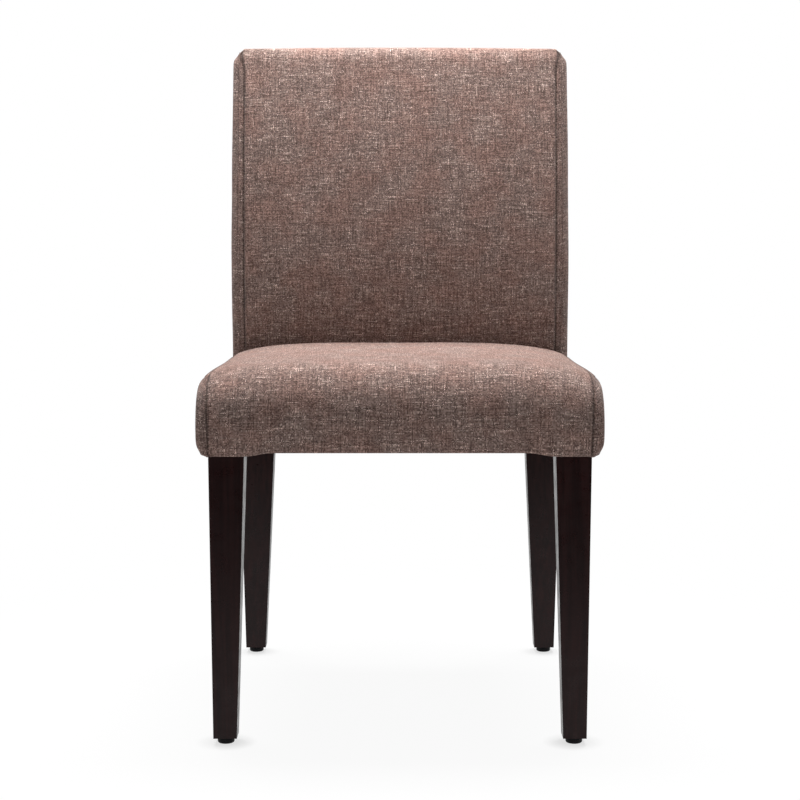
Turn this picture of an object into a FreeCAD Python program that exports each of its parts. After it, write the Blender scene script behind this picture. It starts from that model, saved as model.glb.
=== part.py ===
import FreeCAD, Part
import math
import os
import re

import Sketcher

# Upholstered dining side chair on a hardwood frame, in millimetres.
# X is across the chair, the chair faces -Y, Z is up, and the origin is on the floor under its middle.
# Left is -X, the viewer's left when looking at the front.

SIZES = {
    # whole chair
    "overall_height": 943,
    "front_reach": 283.1,
    "seat_base": 380,
    # legs: square posts in the seat, tapered below it
    "leg_spread": 491,
    "leg_width": 46,
    "rear_leg_width": 56,
    "foot_spread": 485,
    "foot_width": 30.5,
    "foot_chamfer": 2.5,
    "leg_setback": 13,
    "rear_foot_reach": 531,
    # seat rails and their loose tenons
    "rail_height": 60,
    "rail_thickness": 22,
    "block_height": 40,
    "block_reach": 42,
    "tenon_thickness": 9,
    "tenon_depth": 22,
    "tenon_end_gap": 1,
    "tenon_fit": 0.05,
    "tenon_edge": 11,
    # back frame
    "post_drop": 27,
    "back_rail_thickness": 18,
    "crest_height": 60,
    "lower_rail_lift": 130,
    "lower_rail_height": 55,
    # webbing
    "strap_width": 60,
    "strap_thickness": 1.4,
    "seat_strap_pitch": 90,
    "cross_strap_pitch": 95,
    "cross_strap_start": 45,
    "back_strap_width": 50,
    "back_strap_pitch": 95,
    "strap_margin": 3,
    # seat upholstery
    "seat_base_width": 508,
    "seat_shoulder_width": 516,
    "seat_top_width": 475,
    "seat_crown_level": 496,
    "seat_front_level": 486,
    "seat_top_level": 481,
    "seat_shoulder_level": 461,
    "seat_roll": 36,
    "seat_corner": 16,
    "seat_side_radius": 130,
    "seat_shoulder_radius": 21,
    "seat_length": 416,
    "seat_seam": 247,
    # back upholstery
    "back_width": 513,
    "back_waist": 4,
    "back_lean": 90,
    "back_thickness": 82,
    "back_taper": 18,
    "back_crown": 6,
    "back_corner": 17,
    "back_rear_corner": 6,
    "back_roll": 34,
    "back_roll_side": 22,
    "back_roll_front": 24,
    "back_roll_rear": 16,
    "back_seam": 236,
    "back_closing": 12,
    "pad_depth": 34,
    "rear_stuffing": 8.5,
    # fabric
    "cover_thickness": 1.6,
    "soft_gap": 0.3,
    "arch_rise": 5,
    "arch_ramp": 36,
    "hem_width": 25,
    "dust_thickness": 0.8,
    "dust_margin": 4.5,
    # levelling glides
    "glide_height": 8.4,
    "glide_radius": 11,
    "glide_edge": 0.6,
    "stop_gap": 0.1,
    "stem_radius": 3.95,
    "stem_length": 30,
    "stem_room": 2.5,
    "nut_bore_radius": 4,
    "nut_barrel_radius": 5,
    "nut_barrel_length": 12,
    "nut_flange_radius": 9.5,
    "nut_flange_thickness": 1.2,
    "nut_fit": 0.1,
}

SIDES = {"left": -1, "right": 1}

doc = FreeCAD.newDocument("banquet_chair")
sheet = doc.addObject("Spreadsheet::Sheet", "Sizes")
for row, (size_name, size_value) in enumerate(SIZES.items(), start=1):
    sheet.set(f"A{row}", size_name)
    sheet.set(f"B{row}", str(size_value))
    sheet.setAlias(f"B{row}", size_name)
doc.recompute()

nodes = []


# formulas over the sheet's sizes


def bound(formula):
    """Return a formula with each size name turned into a reference to its cell."""
    return re.sub(r"[a-z_]\w*", lambda word: f"Sizes.{word[0]}" if word[0] in SIZES else word[0], str(formula))


def number(formula):
    """Return the value of a formula over the sheet's sizes."""
    return float(sheet.evalExpression(bound(formula)))


FRONT = "(0 - front_reach)"
LEG_FRONT = f"({FRONT} + leg_setback)"
LEG_BACK = f"({LEG_FRONT} + leg_width)"
LEG_OUTER = "(leg_spread / 2)"
LEG_INNER = "(leg_spread / 2 - leg_width)"
REAR_INNER = "(leg_spread / 2 - rear_leg_width)"
LEG_END = "(glide_height + stop_gap)"
FOOT_OUTER = "(foot_spread / 2)"
FOOT_INNER = "(foot_spread / 2 - foot_width)"
FRONT_FOOT = f"({LEG_FRONT} + foot_width / 2)"
REAR_FOOT = f"({FRONT} + rear_foot_reach)"
HEM_BOTTOM = "(seat_base + arch_rise)"
HEM_TOP = f"({HEM_BOTTOM} + cover_thickness)"
RAIL_BOTTOM = f"({HEM_TOP} + soft_gap)"
RAIL_TOP = f"({RAIL_BOTTOM} + rail_height)"
RAIL_INNER = "(leg_spread / 2 - rail_thickness)"
CORE_TOP = f"({RAIL_TOP} + 2 * strap_thickness + soft_gap)"
CORE_SIDE = f"({LEG_OUTER} + soft_gap)"
POST_TOP = "(overall_height - post_drop)"
LOWER_RAIL = "(seat_base + lower_rail_lift)"
BACK_RISE = "(overall_height - seat_base)"
BACK_FACE = f"({FRONT} + seat_length)"
STRAP_LAYERS = "(2 * strap_thickness + soft_gap)"
FABRIC = "(cover_thickness + soft_gap)"


def back_front(level):
    """Formula for the Y of the back's front face at a level."""
    return f"({BACK_FACE} + ({level} - seat_base) * back_lean / {BACK_RISE})"


def back_rear(level):
    """Formula for the Y of the back's rear face at a level; the back thins towards its top."""
    return f"({back_front(level)} + back_thickness - ({level} - seat_base) * back_taper / {BACK_RISE})"


def post_front(level):
    """Formula for the Y of the back posts' front face at a level."""
    return f"({back_front(level)} + pad_depth)"


def post_rear(level):
    """Formula for the Y of the back posts' rear face at a level."""
    return f"({back_rear(level)} - rear_stuffing)"


REAR_RAIL_FRONT = post_front(RAIL_TOP)
REAR_RAIL_REAR = f"({REAR_RAIL_FRONT} + rail_thickness)"


# sketches and features


def new_sketch(body, name, plane, place):
    """Add a sketch to a body on one of its origin planes, moved to a coordinate along that plane's axis."""
    sketch = body.newObject("Sketcher::SketchObject", name)
    support = next(feature for feature in body.Origin.OriginFeatures if feature.Role == plane)
    sketch.AttachmentSupport = [(support, "")]
    sketch.MapMode = "FlatFace"
    direction = -1 if plane == "XZ_Plane" else 1
    sketch.setExpression("AttachmentOffset.Base.z", bound(f"{direction} * ({place})"))
    return sketch


def outward_arc(start, end, radius):
    """Return the arc from start to end that bulges to the right of the way, under half a circle long."""
    chord = end - start
    inward = FreeCAD.Vector(-chord.y, chord.x, 0).normalize()
    reach = math.sqrt(max(radius ** 2 - (chord.Length / 2) ** 2, 0))
    centre = (start + end) / 2 + inward * reach
    first = math.atan2(start.y - centre.y, start.x - centre.x)
    last = math.atan2(end.y - centre.y, end.x - centre.x)
    circle = Part.Circle(centre, FreeCAD.Vector(0, 0, 1), radius)
    return Part.ArcOfCircle(circle, first, last if last > first else last + 2 * math.pi)


def tie_point(sketch, geometry, position, point):
    """Tie a point of a sketch's geometry to a pair of formulas."""
    for kind, formula in zip(("DistanceX", "DistanceY"), point):
        tie = sketch.addConstraint(Sketcher.Constraint(kind, -1, 1, geometry, position, number(formula)))
        sketch.setExpression(f"Constraints[{tie}]", bound(formula))


def draw_outline(sketch, corners, radii=None):
    """Draw a closed outline tied to the sizes.

    corners are pairs of formulas. radii gives the radius of each edge that is an outward arc instead of a
    straight line, by the number of the corner where the edge starts, on a counter-clockwise outline.
    """
    radii = radii or {}
    points = [FreeCAD.Vector(number(across), number(up), 0) for across, up in corners]
    base = sketch.GeometryCount
    count = len(points)
    for index, start in enumerate(points):
        end = points[(index + 1) % count]
        if index in radii:
            sketch.addGeometry(outward_arc(start, end, number(radii[index])), False)
        else:
            sketch.addGeometry(Part.LineSegment(start, end), False)
    for index in range(count):
        following = base + (index + 1) % count
        sketch.addConstraint(Sketcher.Constraint("Coincident", base + index, 2, following, 1))
        tie_point(sketch, base + index, 1, corners[index])
        if index in radii:
            tie = sketch.addConstraint(Sketcher.Constraint("Radius", base + index, number(radii[index])))
            sketch.setExpression(f"Constraints[{tie}]", bound(radii[index]))


def draw_circles(sketch, centres, radius):
    """Draw circles of one radius about centres given as pairs of formulas."""
    for centre in centres:
        middle = FreeCAD.Vector(number(centre[0]), number(centre[1]), 0)
        circle = Part.Circle(middle, FreeCAD.Vector(0, 0, 1), number(radius))
        geometry = sketch.addGeometry(circle, False)
        tie_point(sketch, geometry, 3, centre)
        tie = sketch.addConstraint(Sketcher.Constraint("Radius", geometry, number(radius)))
        sketch.setExpression(f"Constraints[{tie}]", bound(radius))


def new_body(label):
    """Add an empty body that may hold several separate solids."""
    body = doc.addObject("PartDesign::Body", label)
    body.AllowCompound = True
    return body


def pad(body, sketch, low, high):
    """Extrude a sketch from one coordinate to another along its plane's axis."""
    feature = body.newObject("PartDesign::Pad", "Pad")
    feature.Profile = sketch
    feature.setExpression("Length", bound(f"({high}) - ({low})"))
    return feature


def pad_place(plane, low, high):
    """Return the coordinate where a pad's sketch lies: pads on the XZ plane grow towards -Y."""
    return high if plane == "XZ_Plane" else low


def pocket_place(plane, low, high):
    """Return the coordinate where a pocket's sketch lies: pockets run against their pads."""
    return low if plane == "XZ_Plane" else high


def add_prism(body, plane, outlines, low, high):
    """Add straight-sided solids of the outlines to a body, between two coordinates."""
    sketch = new_sketch(body, "Outline", plane, pad_place(plane, low, high))
    for outline in outlines:
        draw_outline(sketch, outline)
    return pad(body, sketch, low, high)


def add_pegs(body, plane, centres, radius, low, high):
    """Add round pegs of one radius to a body, between two coordinates."""
    sketch = new_sketch(body, "Circles", plane, pad_place(plane, low, high))
    draw_circles(sketch, centres, radius)
    return pad(body, sketch, low, high)


def take(body, sketch, low, high):
    """Pocket a sketch out of a body and make sure that it removed something."""
    doc.recompute()
    before = body.Shape.Volume
    feature = body.newObject("PartDesign::Pocket", "Pocket")
    feature.Profile = sketch
    feature.setExpression("Length", bound(f"({high}) - ({low})"))
    doc.recompute()
    if body.Shape.Volume >= before:
        raise RuntimeError(f"{body.Label}: a pocket cuts nothing")
    return feature


def cut_prism(body, plane, outline, low, high):
    """Cut a straight-sided hollow out of a body, between two coordinates."""
    sketch = new_sketch(body, "CutOutline", plane, pocket_place(plane, low, high))
    draw_outline(sketch, outline)
    return take(body, sketch, low, high)


def cut_bores(body, plane, centres, radius, low, high):
    """Bore round holes of one radius into a body, between two coordinates."""
    sketch = new_sketch(body, "BoreCircles", plane, pocket_place(plane, low, high))
    draw_circles(sketch, centres, radius)
    return take(body, sketch, low, high)


def edges_at(body, level):
    """Return the names of a body's straight and round edges that lie flat at a level."""
    found = []
    for index, edge in enumerate(body.Shape.Edges, start=1):
        box = edge.BoundBox
        if abs(box.ZMin - level) < 1e-4 and abs(box.ZMax - level) < 1e-4:
            found.append(f"Edge{index}")
    return found


def chamfer_end(body, level, size):
    """Chamfer a body's edges that lie flat at a level."""
    doc.recompute()
    base = body.Tip
    feature = body.newObject("PartDesign::Chamfer", "Chamfer")
    feature.Base = (base, edges_at(body, number(level)))
    feature.setExpression("Size", bound(size))
    doc.recompute()
    return feature


def add_loft(label, plane, sections):
    """Return a body lofted from section to section, each a place, its corners and its arc radii."""
    body = new_body(label)
    sketches = []
    for place, corners, radii in sections:
        sketch = new_sketch(body, "Section", plane, place)
        draw_outline(sketch, corners, radii)
        sketches.append(sketch)
    doc.recompute()
    feature = body.newObject("PartDesign::AdditiveLoft", "Loft")
    feature.Profile = sketches[0]
    feature.Sections = sketches[1:]
    feature.Ruled = True
    doc.recompute()
    return body


def add_box(label, low, high):
    """Return a box between two corners given as formulas."""
    box = doc.addObject("Part::Box", label)
    for axis, side, first, last in zip("xyz", ("Length", "Width", "Height"), low, high):
        box.setExpression(f"Placement.Base.{axis}", bound(first))
        box.setExpression(side, bound(f"({last}) - ({first})"))
    return box


def combine(kind, label, base, tool):
    """Return the Cut or Common of two objects."""
    result = doc.addObject(f"Part::{kind}", label)
    result.Base = base
    result.Tool = tool
    doc.recompute()
    return result


def hollow_out(label, outer, hollow):
    """Return a closed skin: a solid with a space inside it that touches none of its faces."""
    skin = doc.addObject("Part::Feature", label)
    walls = [outer.Shape.Shells[0], hollow.Shape.Shells[0].reversed()]
    skin.Shape = Part.makeSolid(Part.Compound(walls))
    return skin


def keep(node):
    """Count an object as one of the chair's sub-parts."""
    nodes.append(node)
    return node


def signed(side, formula):
    """Return a formula on the chair's left or right."""
    return f"({SIDES[side]} * {formula})"


def span(side, near, far):
    """Return the low and high X of a span that starts near the middle on one side of the chair."""
    return (near, far) if side == "right" else (signed(side, far), signed(side, near))


def rectangle(low_across, low_up, high_across, high_up):
    """Return a rectangle's corners, counter-clockwise."""
    return [(low_across, low_up), (high_across, low_up), (high_across, high_up), (low_across, high_up)]


# wooden frame

FRONT_RAIL_FACES = (LEG_FRONT, f"({LEG_FRONT} + rail_thickness)")
REAR_RAIL_FACES = (REAR_RAIL_FRONT, REAR_RAIL_REAR)


def tenon_outline(low_faces, high_faces, low, high, fit):
    """Section of a loose tenon in the middle of a rail, from the rail's faces at its low and high edges."""
    half = f"(tenon_thickness / 2 - {fit})"
    middles = [f"(({near}) / 2 + ({far}) / 2)" for near, far in (low_faces, high_faces)]
    bottom = f"({low} + tenon_edge + {fit})"
    top = f"({high} - tenon_edge - {fit})"
    return [
        (f"{middles[0]} - {half}", bottom),
        (f"{middles[0]} + {half}", bottom),
        (f"{middles[1]} + {half}", top),
        (f"{middles[1]} - {half}", top),
    ]


def seat_tenon(faces, fit):
    """Section of a loose tenon at the end of a seat rail that lies between two faces."""
    return tenon_outline(faces, faces, RAIL_BOTTOM, RAIL_TOP, fit)


def side_rail_faces(side):
    """The two faces of a side rail, in X."""
    return span(side, RAIL_INNER, LEG_OUTER)


REAR_SIDE_JOINT = post_front(f"({RAIL_BOTTOM} + rail_height / 2)")


def back_tenon(low, high, fit):
    """Section of a loose tenon at the end of a back rail, which leans with it."""
    inner_low = f"({low} + tenon_edge)"
    inner_high = f"({high} - tenon_edge)"
    faces = [(post_front(level), f"({post_front(level)} + back_rail_thickness)") for level in (inner_low, inner_high)]
    return tenon_outline(*faces, low, high, fit)


CREST_LOW = f"({POST_TOP} - crest_height)"
LOWER_RAIL_TOP = f"({LOWER_RAIL} + lower_rail_height)"


def hexagon(centre, radius):
    """Return the corners of a hexagon about a centre, each a radius from it."""
    corners = []
    for number in range(6):
        turn = math.pi / 3 * number
        across = f"({centre[0]} + {radius} * ({math.cos(turn):.6f}))"
        along = f"({centre[1]} + {radius} * ({math.sin(turn):.6f}))"
        corners.append((across, along))
    return corners


def bore_foot(leg, side, foot_y):
    """Chamfer a leg's end and bore it for the T-nut and the glide's stem."""
    chamfer_end(leg, LEG_END, "foot_chamfer")
    centre = [(signed(side, "(foot_spread / 2 - foot_width / 2)"), foot_y)]
    stem_bore = f"{LEG_END} + stem_length + stem_room"
    barrel_bore = f"{LEG_END} + nut_barrel_length"
    flange_recess = f"{LEG_END} + nut_flange_thickness"
    cut_bores(leg, "XY_Plane", centre, "nut_bore_radius + nut_fit", LEG_END, stem_bore)
    cut_bores(leg, "XY_Plane", centre, "nut_barrel_radius + nut_fit", LEG_END, barrel_bore)
    flange = hexagon(centre[0], "(nut_flange_radius + nut_fit)")
    cut_prism(leg, "XY_Plane", flange, LEG_END, flange_recess)


def make_front_leg(side):
    """Front leg: a square post up to the top of the rails, tapered below the seat."""
    leg = new_body(f"front_{side}_leg")
    front_view = [
        (signed(side, FOOT_INNER), LEG_END),
        (signed(side, FOOT_OUTER), LEG_END),
        (signed(side, LEG_OUTER), "seat_base"),
        (signed(side, LEG_OUTER), RAIL_TOP),
        (signed(side, LEG_INNER), RAIL_TOP),
        (signed(side, LEG_INNER), "seat_base"),
    ]
    add_prism(leg, "XZ_Plane", [front_view], LEG_FRONT, LEG_BACK)
    rear_taper = [
        (f"{LEG_FRONT} + foot_width", "0"),
        (f"{LEG_BACK} + leg_width", "0"),
        (f"{LEG_BACK} + leg_width", "seat_base"),
        (LEG_BACK, "seat_base"),
        (f"{LEG_FRONT} + foot_width", LEG_END),
    ]
    cut_prism(leg, "YZ_Plane", rear_taper, *span(side, "0", "leg_spread"))
    bore_foot(leg, side, FRONT_FOOT)
    mortise = span(side, LEG_INNER, f"({LEG_INNER} + tenon_depth)")
    cut_prism(leg, "YZ_Plane", seat_tenon(FRONT_RAIL_FACES, "0"), *mortise)
    cut_prism(leg, "XZ_Plane", seat_tenon(side_rail_faces(side), "0"), f"{LEG_BACK} - tenon_depth", LEG_BACK)
    return leg


def make_rear_leg(side):
    """Rear leg and back post in one piece: kicked back below the seat, leaning back above it."""
    leg = new_body(f"rear_{side}_leg")
    side_view = [
        (f"{REAR_FOOT} - foot_width / 2", LEG_END),
        (f"{REAR_FOOT} + foot_width / 2", LEG_END),
        (post_rear("seat_base"), "seat_base"),
        (post_rear(POST_TOP), POST_TOP),
        (post_front(POST_TOP), POST_TOP),
        (post_front("seat_base"), "seat_base"),
    ]
    add_prism(leg, "YZ_Plane", [side_view], *span(side, REAR_INNER, LEG_OUTER))
    inner_taper = [
        (signed(side, f"({REAR_INNER} - leg_width)"), "0"),
        (signed(side, FOOT_INNER), "0"),
        (signed(side, FOOT_INNER), LEG_END),
        (signed(side, REAR_INNER), "seat_base"),
        (signed(side, f"({REAR_INNER} - leg_width)"), "seat_base"),
    ]
    outer_taper = [
        (signed(side, FOOT_OUTER), "0"),
        (signed(side, f"({LEG_OUTER} + leg_width)"), "0"),
        (signed(side, f"({LEG_OUTER} + leg_width)"), "seat_base"),
        (signed(side, LEG_OUTER), "seat_base"),
        (signed(side, FOOT_OUTER), LEG_END),
    ]
    for taper in (inner_taper, outer_taper):
        cut_prism(leg, "XZ_Plane", taper, "0", f"{REAR_FOOT} + foot_width")
    bore_foot(leg, side, REAR_FOOT)
    mortise = span(side, REAR_INNER, f"({REAR_INNER} + tenon_depth)")
    for section in (
        seat_tenon(REAR_RAIL_FACES, "0"),
        back_tenon(LOWER_RAIL, LOWER_RAIL_TOP, "0"),
        back_tenon(CREST_LOW, POST_TOP, "0"),
    ):
        cut_prism(leg, "YZ_Plane", section, *mortise)
    side_mortise = (f"{REAR_SIDE_JOINT} - tenon_depth", f"{REAR_SIDE_JOINT} + tenon_depth")
    cut_prism(leg, "XZ_Plane", seat_tenon(side_rail_faces(side), "0"), *side_mortise)
    return leg


def make_cross_rail(label, outline, mortise, tenon, end):
    """Rail between two legs or posts, mortised at both ends, and its loose tenons."""
    rail = new_body(label)
    add_prism(rail, "YZ_Plane", [outline], f"0 - {end}", end)
    tenons = new_body(f"{label}_tenons")
    for side in SIDES:
        cut_prism(rail, "YZ_Plane", mortise, *span(side, f"({end} - tenon_depth)", end))
        near = f"({end} - tenon_depth + tenon_end_gap)"
        far = f"({end} + tenon_depth - tenon_end_gap)"
        add_prism(tenons, "YZ_Plane", [tenon], *span(side, near, far))
    keep(rail)
    keep(tenons)


def make_side_rail(side):
    """Side rail from the front leg to the slanting face of the rear leg, and its loose tenons."""
    rail = new_body(f"{side}_seat_rail")
    outline = [
        (LEG_BACK, RAIL_BOTTOM),
        (post_front(RAIL_BOTTOM), RAIL_BOTTOM),
        (post_front(RAIL_TOP), RAIL_TOP),
        (LEG_BACK, RAIL_TOP),
    ]
    add_prism(rail, "YZ_Plane", [outline], *span(side, RAIL_INNER, LEG_OUTER))
    tenons = new_body(f"{side}_seat_rail_tenons")
    faces = side_rail_faces(side)
    for joint in (LEG_BACK, REAR_SIDE_JOINT):
        cut_prism(rail, "XZ_Plane", seat_tenon(faces, "0"), f"{joint} - tenon_depth", f"{joint} + tenon_depth")
        near = f"{joint} - tenon_depth + tenon_end_gap"
        far = f"{joint} + tenon_depth - tenon_end_gap"
        add_prism(tenons, "XZ_Plane", [seat_tenon(faces, "tenon_fit")], near, far)
    keep(rail)
    keep(tenons)


def back_rail_outline(low, high):
    """Side view of a back rail, which leans with the posts and lies flush with their front."""
    return [
        (post_front(low), low),
        (f"{post_front(low)} + back_rail_thickness", low),
        (f"{post_front(high)} + back_rail_thickness", high),
        (post_front(high), high),
    ]


def make_corner_block(end, side):
    """Glued corner block between two rails, notched round the leg."""
    block = new_body(f"{end}_{side}_corner_block")
    low = f"({RAIL_BOTTOM} + rail_height / 2 - block_height / 2)"
    high = f"({RAIL_BOTTOM} + rail_height / 2 + block_height / 2)"
    inner = LEG_INNER if end == "front" else REAR_INNER
    leg_side = signed(side, f"({inner} - soft_gap)")
    rail_side = signed(side, RAIL_INNER)
    far_side = signed(side, f"({inner} - block_reach)")
    if end == "front":
        rail_face = f"{LEG_FRONT} + rail_thickness"
        leg_face = f"{LEG_BACK} + soft_gap"
        far_face = f"{LEG_BACK} + block_reach"
    else:
        rail_face = REAR_RAIL_FRONT
        leg_face = f"{post_front(low)} - soft_gap"
        far_face = f"{post_front(low)} - block_reach"
    outline = [
        (leg_side, rail_face),
        (leg_side, leg_face),
        (rail_side, leg_face),
        (rail_side, far_face),
        (far_side, rail_face),
    ]
    add_prism(block, "XY_Plane", [outline], low, high)
    keep(block)


for side in SIDES:
    keep(make_front_leg(side))
    keep(make_rear_leg(side))
    make_side_rail(side)
    for end in ("front", "rear"):
        make_corner_block(end, side)

for label, faces, end in (
    ("front_seat_rail", FRONT_RAIL_FACES, LEG_INNER),
    ("rear_seat_rail", REAR_RAIL_FACES, REAR_INNER),
):
    outline = rectangle(faces[0], RAIL_BOTTOM, faces[1], RAIL_TOP)
    make_cross_rail(label, outline, seat_tenon(faces, "0"), seat_tenon(faces, "tenon_fit"), end)
for label, low, high in (("crest_rail", CREST_LOW, POST_TOP), ("lower_back_rail", LOWER_RAIL, LOWER_RAIL_TOP)):
    outline = back_rail_outline(low, high)
    make_cross_rail(label, outline, back_tenon(low, high, "0"), back_tenon(low, high, "tenon_fit"), REAR_INNER)


# webbing


def make_seat_webbing():
    """Straps from front to back on the rails, and straps from side to side on top of them."""
    lengthwise = new_body("seat_webbing_lengthwise")
    outlines = []
    for step in (-1.5, -0.5, 0.5, 1.5):
        left = f"({step} * seat_strap_pitch - strap_width / 2)"
        front = f"{LEG_FRONT} + strap_margin"
        outlines.append(rectangle(left, front, f"{left} + strap_width", f"{REAR_RAIL_REAR} - strap_margin"))
    add_prism(lengthwise, "XY_Plane", outlines, RAIL_TOP, f"{RAIL_TOP} + strap_thickness")
    crosswise = new_body("seat_webbing_crosswise")
    outlines = []
    for step in range(4):
        front = f"({LEG_BACK} + cross_strap_start + {step} * cross_strap_pitch - strap_width / 2)"
        side = f"({LEG_OUTER} - strap_margin)"
        outlines.append(rectangle(f"0 - {side}", front, side, f"{front} + strap_width"))
    low = f"{RAIL_TOP} + strap_thickness"
    add_prism(crosswise, "XY_Plane", outlines, low, f"{low} + strap_thickness")
    keep(lengthwise)
    keep(crosswise)


def leaning_strap(low, high, layer):
    """Side view of a strap in front of the posts, in the first or second layer."""
    near = f"{layer} * strap_thickness"
    far = f"{layer + 1} * strap_thickness"
    return [
        (f"{post_front(low)} - {far}", low),
        (f"{post_front(low)} - {near}", low),
        (f"{post_front(high)} - {near}", high),
        (f"{post_front(high)} - {far}", high),
    ]


def make_back_webbing():
    """Straps across the posts, and straps up from the lower rail to the crest rail in front of them."""
    across = new_body("back_webbing_across")
    outlines = []
    for share in (0.25, 0.5, 0.75):
        middle = f"({LOWER_RAIL_TOP} + {share} * ({CREST_LOW} - {LOWER_RAIL_TOP}))"
        low = f"({middle} - back_strap_width / 2)"
        outlines.append(leaning_strap(low, f"({low} + back_strap_width)", 0))
    side = f"({LEG_OUTER} - strap_margin)"
    add_prism(across, "YZ_Plane", outlines, f"0 - {side}", side)
    upright = new_body("back_webbing_upright")
    outline = leaning_strap(f"({LOWER_RAIL} + strap_margin)", f"({POST_TOP} - strap_margin)", 1)
    for step in (-1, 0, 1):
        left = f"({step} * back_strap_pitch - back_strap_width / 2)"
        add_prism(upright, "YZ_Plane", [outline], left, f"{left} + back_strap_width")
    keep(across)
    keep(upright)


make_seat_webbing()
make_back_webbing()


# outer forms of the upholstery


# each roll is a quarter round in flat steps: its share along and its share of the fall, from its steep end
ROLL_STEPS = 3
ROLL = []
for step in range(ROLL_STEPS + 1):
    turn = math.pi / 2 * step / ROLL_STEPS
    ROLL.append((round(1 - math.cos(turn), 5), round(1 - math.sin(turn), 5)))


def seat_section(crown, fall, narrowing, inset, bottom):
    """Cross-section of the seat: drawn in at the base, full at the sides, crowned on top."""
    base = f"(seat_base_width / 2 - {narrowing} - {inset})"
    shoulder = f"(seat_shoulder_width / 2 - {narrowing} - {inset})"
    top = f"(seat_top_width / 2 - {narrowing} - {inset})"
    shoulder_level = f"(seat_shoulder_level - {fall} - {inset})"
    top_level = f"(seat_top_level - {fall} - {inset})"
    rise = f"({crown} - seat_top_level)"
    crown_radius = f"({top} ^ 2 + {rise} ^ 2) / (2 * {rise})"
    corners = [
        (f"0 - {base}", bottom),
        (base, bottom),
        (shoulder, shoulder_level),
        (top, top_level),
        (f"0 - {top}", top_level),
        (f"0 - {shoulder}", shoulder_level),
    ]
    side_radius = "seat_side_radius"
    edge_radius = "seat_shoulder_radius"
    radii = {1: side_radius, 2: edge_radius, 3: crown_radius, 4: edge_radius, 5: side_radius}
    return corners, radii


def seat_form(label, inset, bottom):
    """Seat as one soft solid, set in from the cover's outer face by a thickness."""
    sections = []
    for share, steepness in ROLL:
        place = f"{FRONT} + {inset} + {share} * seat_roll"
        fall = f"({steepness} * seat_roll)"
        narrowing = f"({steepness} * seat_corner)"
        sections.append((place, *seat_section("seat_front_level", fall, narrowing, inset, bottom)))
    for share in (0.45, 1):
        place = f"{FRONT} - {inset} + seat_roll + {share} * (seat_length + back_corner)"
        sections.append((place, *seat_section("seat_crown_level", "0", "0", inset, bottom)))
    return add_loft(label, "XZ_Plane", sections)


def back_section(level, inset, waist, drawn):
    """Plan of the back at a level: crowned front, rounded corners, flat rear, drawn in on the top roll."""
    half = f"(back_width / 2 - {inset} - {waist} * back_waist - {drawn} * back_roll_side)"
    front = f"({back_front(level)} + {inset} + {drawn} * back_roll_front)"
    rear = f"({back_rear(level)} - {inset} - {drawn} * back_roll_rear)"
    crown = f"({1 - 0.5 * drawn} * back_crown)"
    corner = f"({1 - 0.6 * drawn} * back_corner)"
    rear_corner = f"({1 - 0.5 * drawn} * back_rear_corner)"
    face = f"({half} - {corner})"
    rear_face = f"({half} - {rear_corner})"
    corners = [
        (f"0 - {face}", f"{front} + {crown}"),
        (face, f"{front} + {crown}"),
        (half, f"{front} + {crown} + {corner}"),
        (half, f"{rear} - {rear_corner}"),
        (rear_face, rear),
        (f"0 - {rear_face}", rear),
        (f"0 - {half}", f"{rear} - {rear_corner}"),
        (f"0 - {half}", f"{front} + {crown} + {corner}"),
    ]
    face_radius = f"({face} ^ 2 + {crown} ^ 2) / (2 * {crown})"
    return corners, {0: face_radius, 1: corner, 3: rear_corner, 5: rear_corner, 7: corner}


def back_form(label, inset, bottom):
    """Back as one soft solid, set in from the cover's outer face by a thickness."""
    sections = []
    middle = f"({bottom} + 0.5 * ({BACK_RISE} - back_roll))"
    for level, waist in ((bottom, 0.5), (CORE_TOP, 0.36), (middle, 0)):
        sections.append((level, *back_section(level, inset, waist, 0)))
    for share, drawn in reversed(ROLL):
        level = f"(overall_height - {inset} - {share} * back_roll)"
        sections.append((level, *back_section(level, inset, 0, drawn)))
    return add_loft(label, "XY_Plane", sections)


STUFFING_BOTTOM = f"({HEM_TOP} + soft_gap)"

seat_outer = seat_form("seat_outer_form", "0", "seat_base")
seat_hollow = seat_form("seat_hollow_form", "cover_thickness", HEM_TOP)
seat_stuffing = seat_form("seat_stuffing_form", FABRIC, STUFFING_BOTTOM)
back_outer = back_form("back_outer_form", "0", "seat_base")
back_hollow = back_form("back_hollow_form", "cover_thickness", HEM_TOP)
back_stuffing = back_form("back_stuffing_form", FABRIC, STUFFING_BOTTOM)
back_clearance = back_form("back_clearance_form", "(0 - soft_gap)", "(seat_base - soft_gap)")


# spaces that the frame takes up inside the upholstery

WIDE = "(2 * leg_spread)"
FAR = "(2 * overall_height)"

core = new_body("seat_frame_space")
core_outline = [
    (f"{LEG_FRONT} - soft_gap", HEM_TOP),
    (f"{post_rear(HEM_TOP)} + soft_gap", HEM_TOP),
    (f"{post_rear(CORE_TOP)} + soft_gap", CORE_TOP),
    (f"{LEG_FRONT} - soft_gap", CORE_TOP),
]
add_prism(core, "YZ_Plane", [core_outline], f"0 - {CORE_SIDE}", CORE_SIDE)

back_core = new_body("back_frame_space")
back_core_low = f"({CORE_TOP} - soft_gap)"
back_core_high = f"({POST_TOP} + soft_gap)"
back_core_outline = [
    (f"{post_front(back_core_low)} - {STRAP_LAYERS}", back_core_low),
    (f"{post_rear(back_core_low)} + soft_gap", back_core_low),
    (f"{post_rear(back_core_high)} + soft_gap", back_core_high),
    (f"{post_front(back_core_high)} - {STRAP_LAYERS}", back_core_high),
]
add_prism(back_core, "YZ_Plane", [back_core_outline], f"0 - {CORE_SIDE}", CORE_SIDE)

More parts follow.
